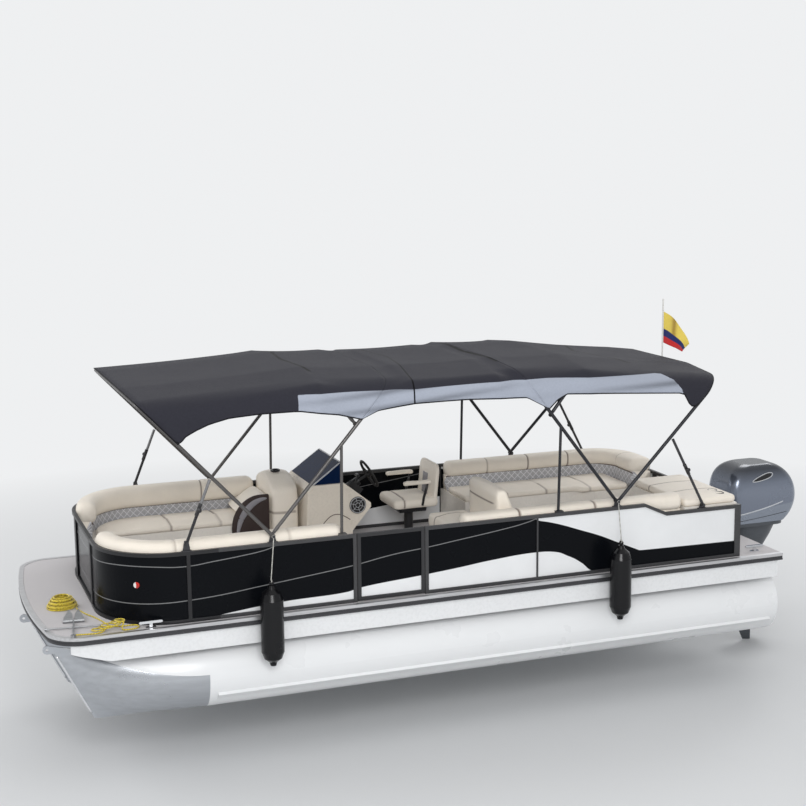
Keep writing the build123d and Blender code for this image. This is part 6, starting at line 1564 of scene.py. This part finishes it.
def build_world(look):
    """Even light from all round, brighter from above. The camera and clear parts see the plain backdrop."""
    world = bpy.data.worlds.new("studio")
    world.use_nodes = True
    tree = world.node_tree
    tree.nodes.clear()
    path = node(tree, "ShaderNodeLightPath")
    seen = maths(tree, "MAXIMUM", path.outputs["Is Camera Ray"], path.outputs["Is Transmission Ray"])
    bright = node(tree, "ShaderNodeMapRange", {"Value": seen, 3: look.fill, 4: 1.0}).outputs[0]
    height = parts(tree, node(tree, "ShaderNodeTexCoord").outputs["Generated"])[Z]
    sky = blend_colour(tree, fitted(tree, height, -0.2, 0.9), (0.62, 0.64, 0.66), (1.0, 1.0, 1.0))
    colour = blend_colour(tree, seen, sky, tuple(look.backdrop_colour))
    back = node(tree, "ShaderNodeBackground", {"Color": colour, "Strength": bright})
    out = node(tree, "ShaderNodeOutputWorld")
    tree.links.new(back.outputs[0], out.inputs["Surface"])
    bpy.context.scene.world = world


def build_stage():
    """Plain pale floor and backdrop, and soft studio lamps."""
    scene = bpy.context.scene
    look = scene.boat_stage
    lo, hi = CAD_BOX
    middle = (Vector(lo) + Vector(hi)) / 2
    build_floor(look, middle, float(lo[2]) - 0.002)
    build_world(look)
    for name, spot, size, share in (
            ("key_lamp", (3.4, 11.2, 6.4), 5.0, 1.0),
            ("fill_lamp", (9.0, -3.0, 6.0), 6.0, 0.35),
            ("back_lamp", (-8.0, -5.0, 7.5), 5.0, 0.4)):
        light = bpy.data.lights.new(name, "AREA")
        light.shape = "DISK"
        light.size = size
        light.energy = look.key * share
        lamp = bpy.data.objects.new(name, light)
        lamp.location = spot
        lamp.rotation_euler = (middle - Vector(spot)).to_track_quat("-Z", "Y").to_euler()
        scene.collection.objects.link(lamp)
    scene.view_settings.view_transform = "Standard"


# The photograph's camera: azimuth, pitch and roll in degrees, place, and focal length in widths of the frame
VIEW_ANGLES = (159.824, 9.802, -0.626)
VIEW_PLACE = (4.878, 13.074, 4.515)
FOCAL_WIDTHS = 1469.24 / 806
SENSOR = 36.0


def build_camera():
    """Camera that matches the photograph's view."""
    scene = bpy.context.scene
    azimuth, pitch, tilt = (math.radians(a) for a in VIEW_ANGLES)
    level = math.cos(pitch)
    back = Vector((math.sin(azimuth) * level, -math.cos(azimuth) * level, math.sin(pitch)))
    right = (-back).cross(Vector((0, 0, 1))).normalized()
    up = right.cross(-back).normalized()
    rolled_right = right * math.cos(tilt) + up * math.sin(tilt)
    rolled_up = up * math.cos(tilt) - right * math.sin(tilt)
    data = bpy.data.cameras.new("photo_camera")
    data.sensor_width = SENSOR
    data.lens = FOCAL_WIDTHS * SENSOR
    data.clip_end = 500.0
    made = bpy.data.objects.new("photo_camera", data)
    turn = Matrix((rolled_right, rolled_up, back)).transposed().to_4x4()
    made.matrix_world = Matrix.Translation(VIEW_PLACE) @ turn
    scene.collection.objects.link(made)
    scene.camera = made


# Add-on

class BoatSizes(bpy.types.PropertyGroup):
    cushion_crown: bpy.props.FloatProperty(
        name="Cushion crown", description="How far a seat cushion's middle stands over its edge",
        default=0.016, min=0.0, max=0.04, subtype="DISTANCE", unit="LENGTH")
    canopy_sag: bpy.props.FloatProperty(
        name="Canopy draw-in", description="How far the cloth draws in between two bows", default=0.024,
        min=0.0, max=0.08, subtype="DISTANCE", unit="LENGTH")


def colour_property(label, text, value):
    """Colour setting for the panel."""
    return bpy.props.FloatVectorProperty(
        name=label, description=text, default=value, min=0.0, max=1.0, size=3, subtype="COLOR")


class BoatColours(bpy.types.PropertyGroup):
    paint_white: colour_property("White paint", "Tubes, skirts and white panel shapes", (0.80, 0.81, 0.82))
    paint_black: colour_property("Black paint", "Dark part of the fence panels", (0.0030, 0.0036, 0.0050))
    rails: colour_property("Fence rails", "Frame of the fence and gates", (0.060, 0.060, 0.063))
    deck: colour_property("Deck", "Deck covering", (0.50, 0.48, 0.49))
    cream: colour_property("Cream vinyl", "Seats and rolls", (0.88, 0.81, 0.71))
    canopy: colour_property("Canopy", "Cloth of the sun top", (0.028, 0.028, 0.037))
    valance: colour_property("Valance", "Silver band along the cloth's sides", (0.36, 0.39, 0.46))
    outboard: colour_property("Outboard", "Cowl paint", (0.185, 0.21, 0.265))
    rope: colour_property("Rope", "Anchor rope", (0.72, 0.56, 0.05))


class BoatStage(bpy.types.PropertyGroup):
    floor_colour: colour_property("Floor", "Studio floor", (0.66, 0.67, 0.68))
    backdrop_colour: colour_property("Backdrop", "Background seen by the camera", (0.86, 0.87, 0.88))
    key: bpy.props.FloatProperty(
        name="Key lamp", description="Main lamp's power", default=640.0, min=0.0, subtype="POWER",
        unit="POWER")
    fill: bpy.props.FloatProperty(
        name="Sky fill", description="Strength of the light from all round", default=0.80, min=0.0)


def operator(idname, label, text, build):
    """Button that builds one group of pieces."""
    def execute(self, context):
        """Runs the step."""
        build()
        return {"FINISHED"}
    name = "BOAT_OT_" + idname
    return type(name, (bpy.types.Operator,), {
        "bl_idname": "boat." + idname, "bl_label": label, "__doc__": text, "execute": execute})


STEPS = [
    operator("camera", "Camera", "Sets the camera to the photograph's view", build_camera),
    operator("finishes", "Finishes", "Makes the materials", build_materials),
    operator("cad_finishes", "CAD finishes", "Gives the CAD parts their materials", finish_nodes),
    operator("ropes", "Ropes", "Lays the anchor rope and the fender lines", build_ropes),
    operator("cushions", "Cushions", "Builds the bench cushions", build_cushions),
    operator("backrests", "Backrests", "Builds the quilted backrests and rolls", build_backrests),
    operator("tower", "Tower", "Builds the tower backrest", build_tower),
    operator("chaise", "Chaise", "Builds the chaise", build_chaise),
    operator("sun_pad", "Sun pad", "Builds the sun pad", build_sun_pad),
    operator("helm_seat", "Helm seat", "Builds the captain's seat", build_helm_seat),
    operator("canopies", "Canopies", "Stretches the sun top's cloths over their bows", build_canopies),
    operator("flag", "Flag", "Hangs the flag", build_flag),
    operator("fittings", "Fittings", "Adds trim, knobs and lines", build_fittings),
    operator("outboard", "Outboard trim", "Adds the cowl's slots and stripes", build_outboard_trim),
    operator("leg_apron", "Leg apron", "Builds the apron under the outboard's pan", build_leg_apron),
    operator("stem_strips", "Stem strips", "Lays the bars down the tubes' stems", build_stem_strips),
    operator("speaker", "Speaker", "Builds the console's speaker", build_speaker),
    operator("stage", "Stage", "Sets floor, backdrop and lamps", build_stage),
]


# Groups of settings in the panel: (title, property of the scene)
SETTINGS = (("Sizes", "boat_sizes"), ("Colours", "boat_colours"), ("Stage", "boat_stage"))


class BOAT_PT_panel(bpy.types.Panel):
    """Sizes, colours and build steps of the boat's dressing"""
    bl_label = "Pontoon boat"
    bl_idname = "BOAT_PT_panel"
    bl_space_type = "VIEW_3D"
    bl_region_type = "UI"
    bl_category = "Pontoon"

    def draw(self, context):
        """Lists the settings and a button for each step."""
        layout = self.layout
        for title, settings in SETTINGS:
            box = layout.box()
            box.label(text=title)
            holder = getattr(context.scene, settings)
            for key in holder.__annotations__:
                box.prop(holder, key)
        for step in STEPS:
            layout.operator(step.bl_idname)


CLASSES = [BoatSizes, BoatColours, BoatStage, *STEPS, BOAT_PT_panel]


def register():
    """Registers the settings, the steps and the panel."""
    for kind in CLASSES:
        bpy.utils.register_class(kind)
    bpy.types.Scene.boat_sizes = bpy.props.PointerProperty(type=BoatSizes)
    bpy.types.Scene.boat_colours = bpy.props.PointerProperty(type=BoatColours)
    bpy.types.Scene.boat_stage = bpy.props.PointerProperty(type=BoatStage)


def unregister():
    """Takes the settings, the steps and the panel away, last one first."""
    del bpy.types.Scene.boat_stage, bpy.types.Scene.boat_colours, bpy.types.Scene.boat_sizes
    for kind in reversed(CLASSES):
        bpy.utils.unregister_class(kind)


def main():
    """Registers the add-on, runs every step in turn and writes the sizes of the boat's box."""
    register()
    for step in STEPS:
        getattr(bpy.ops.boat, step.bl_idname.split(".")[1])()


if __name__ == "__main__":
    main()
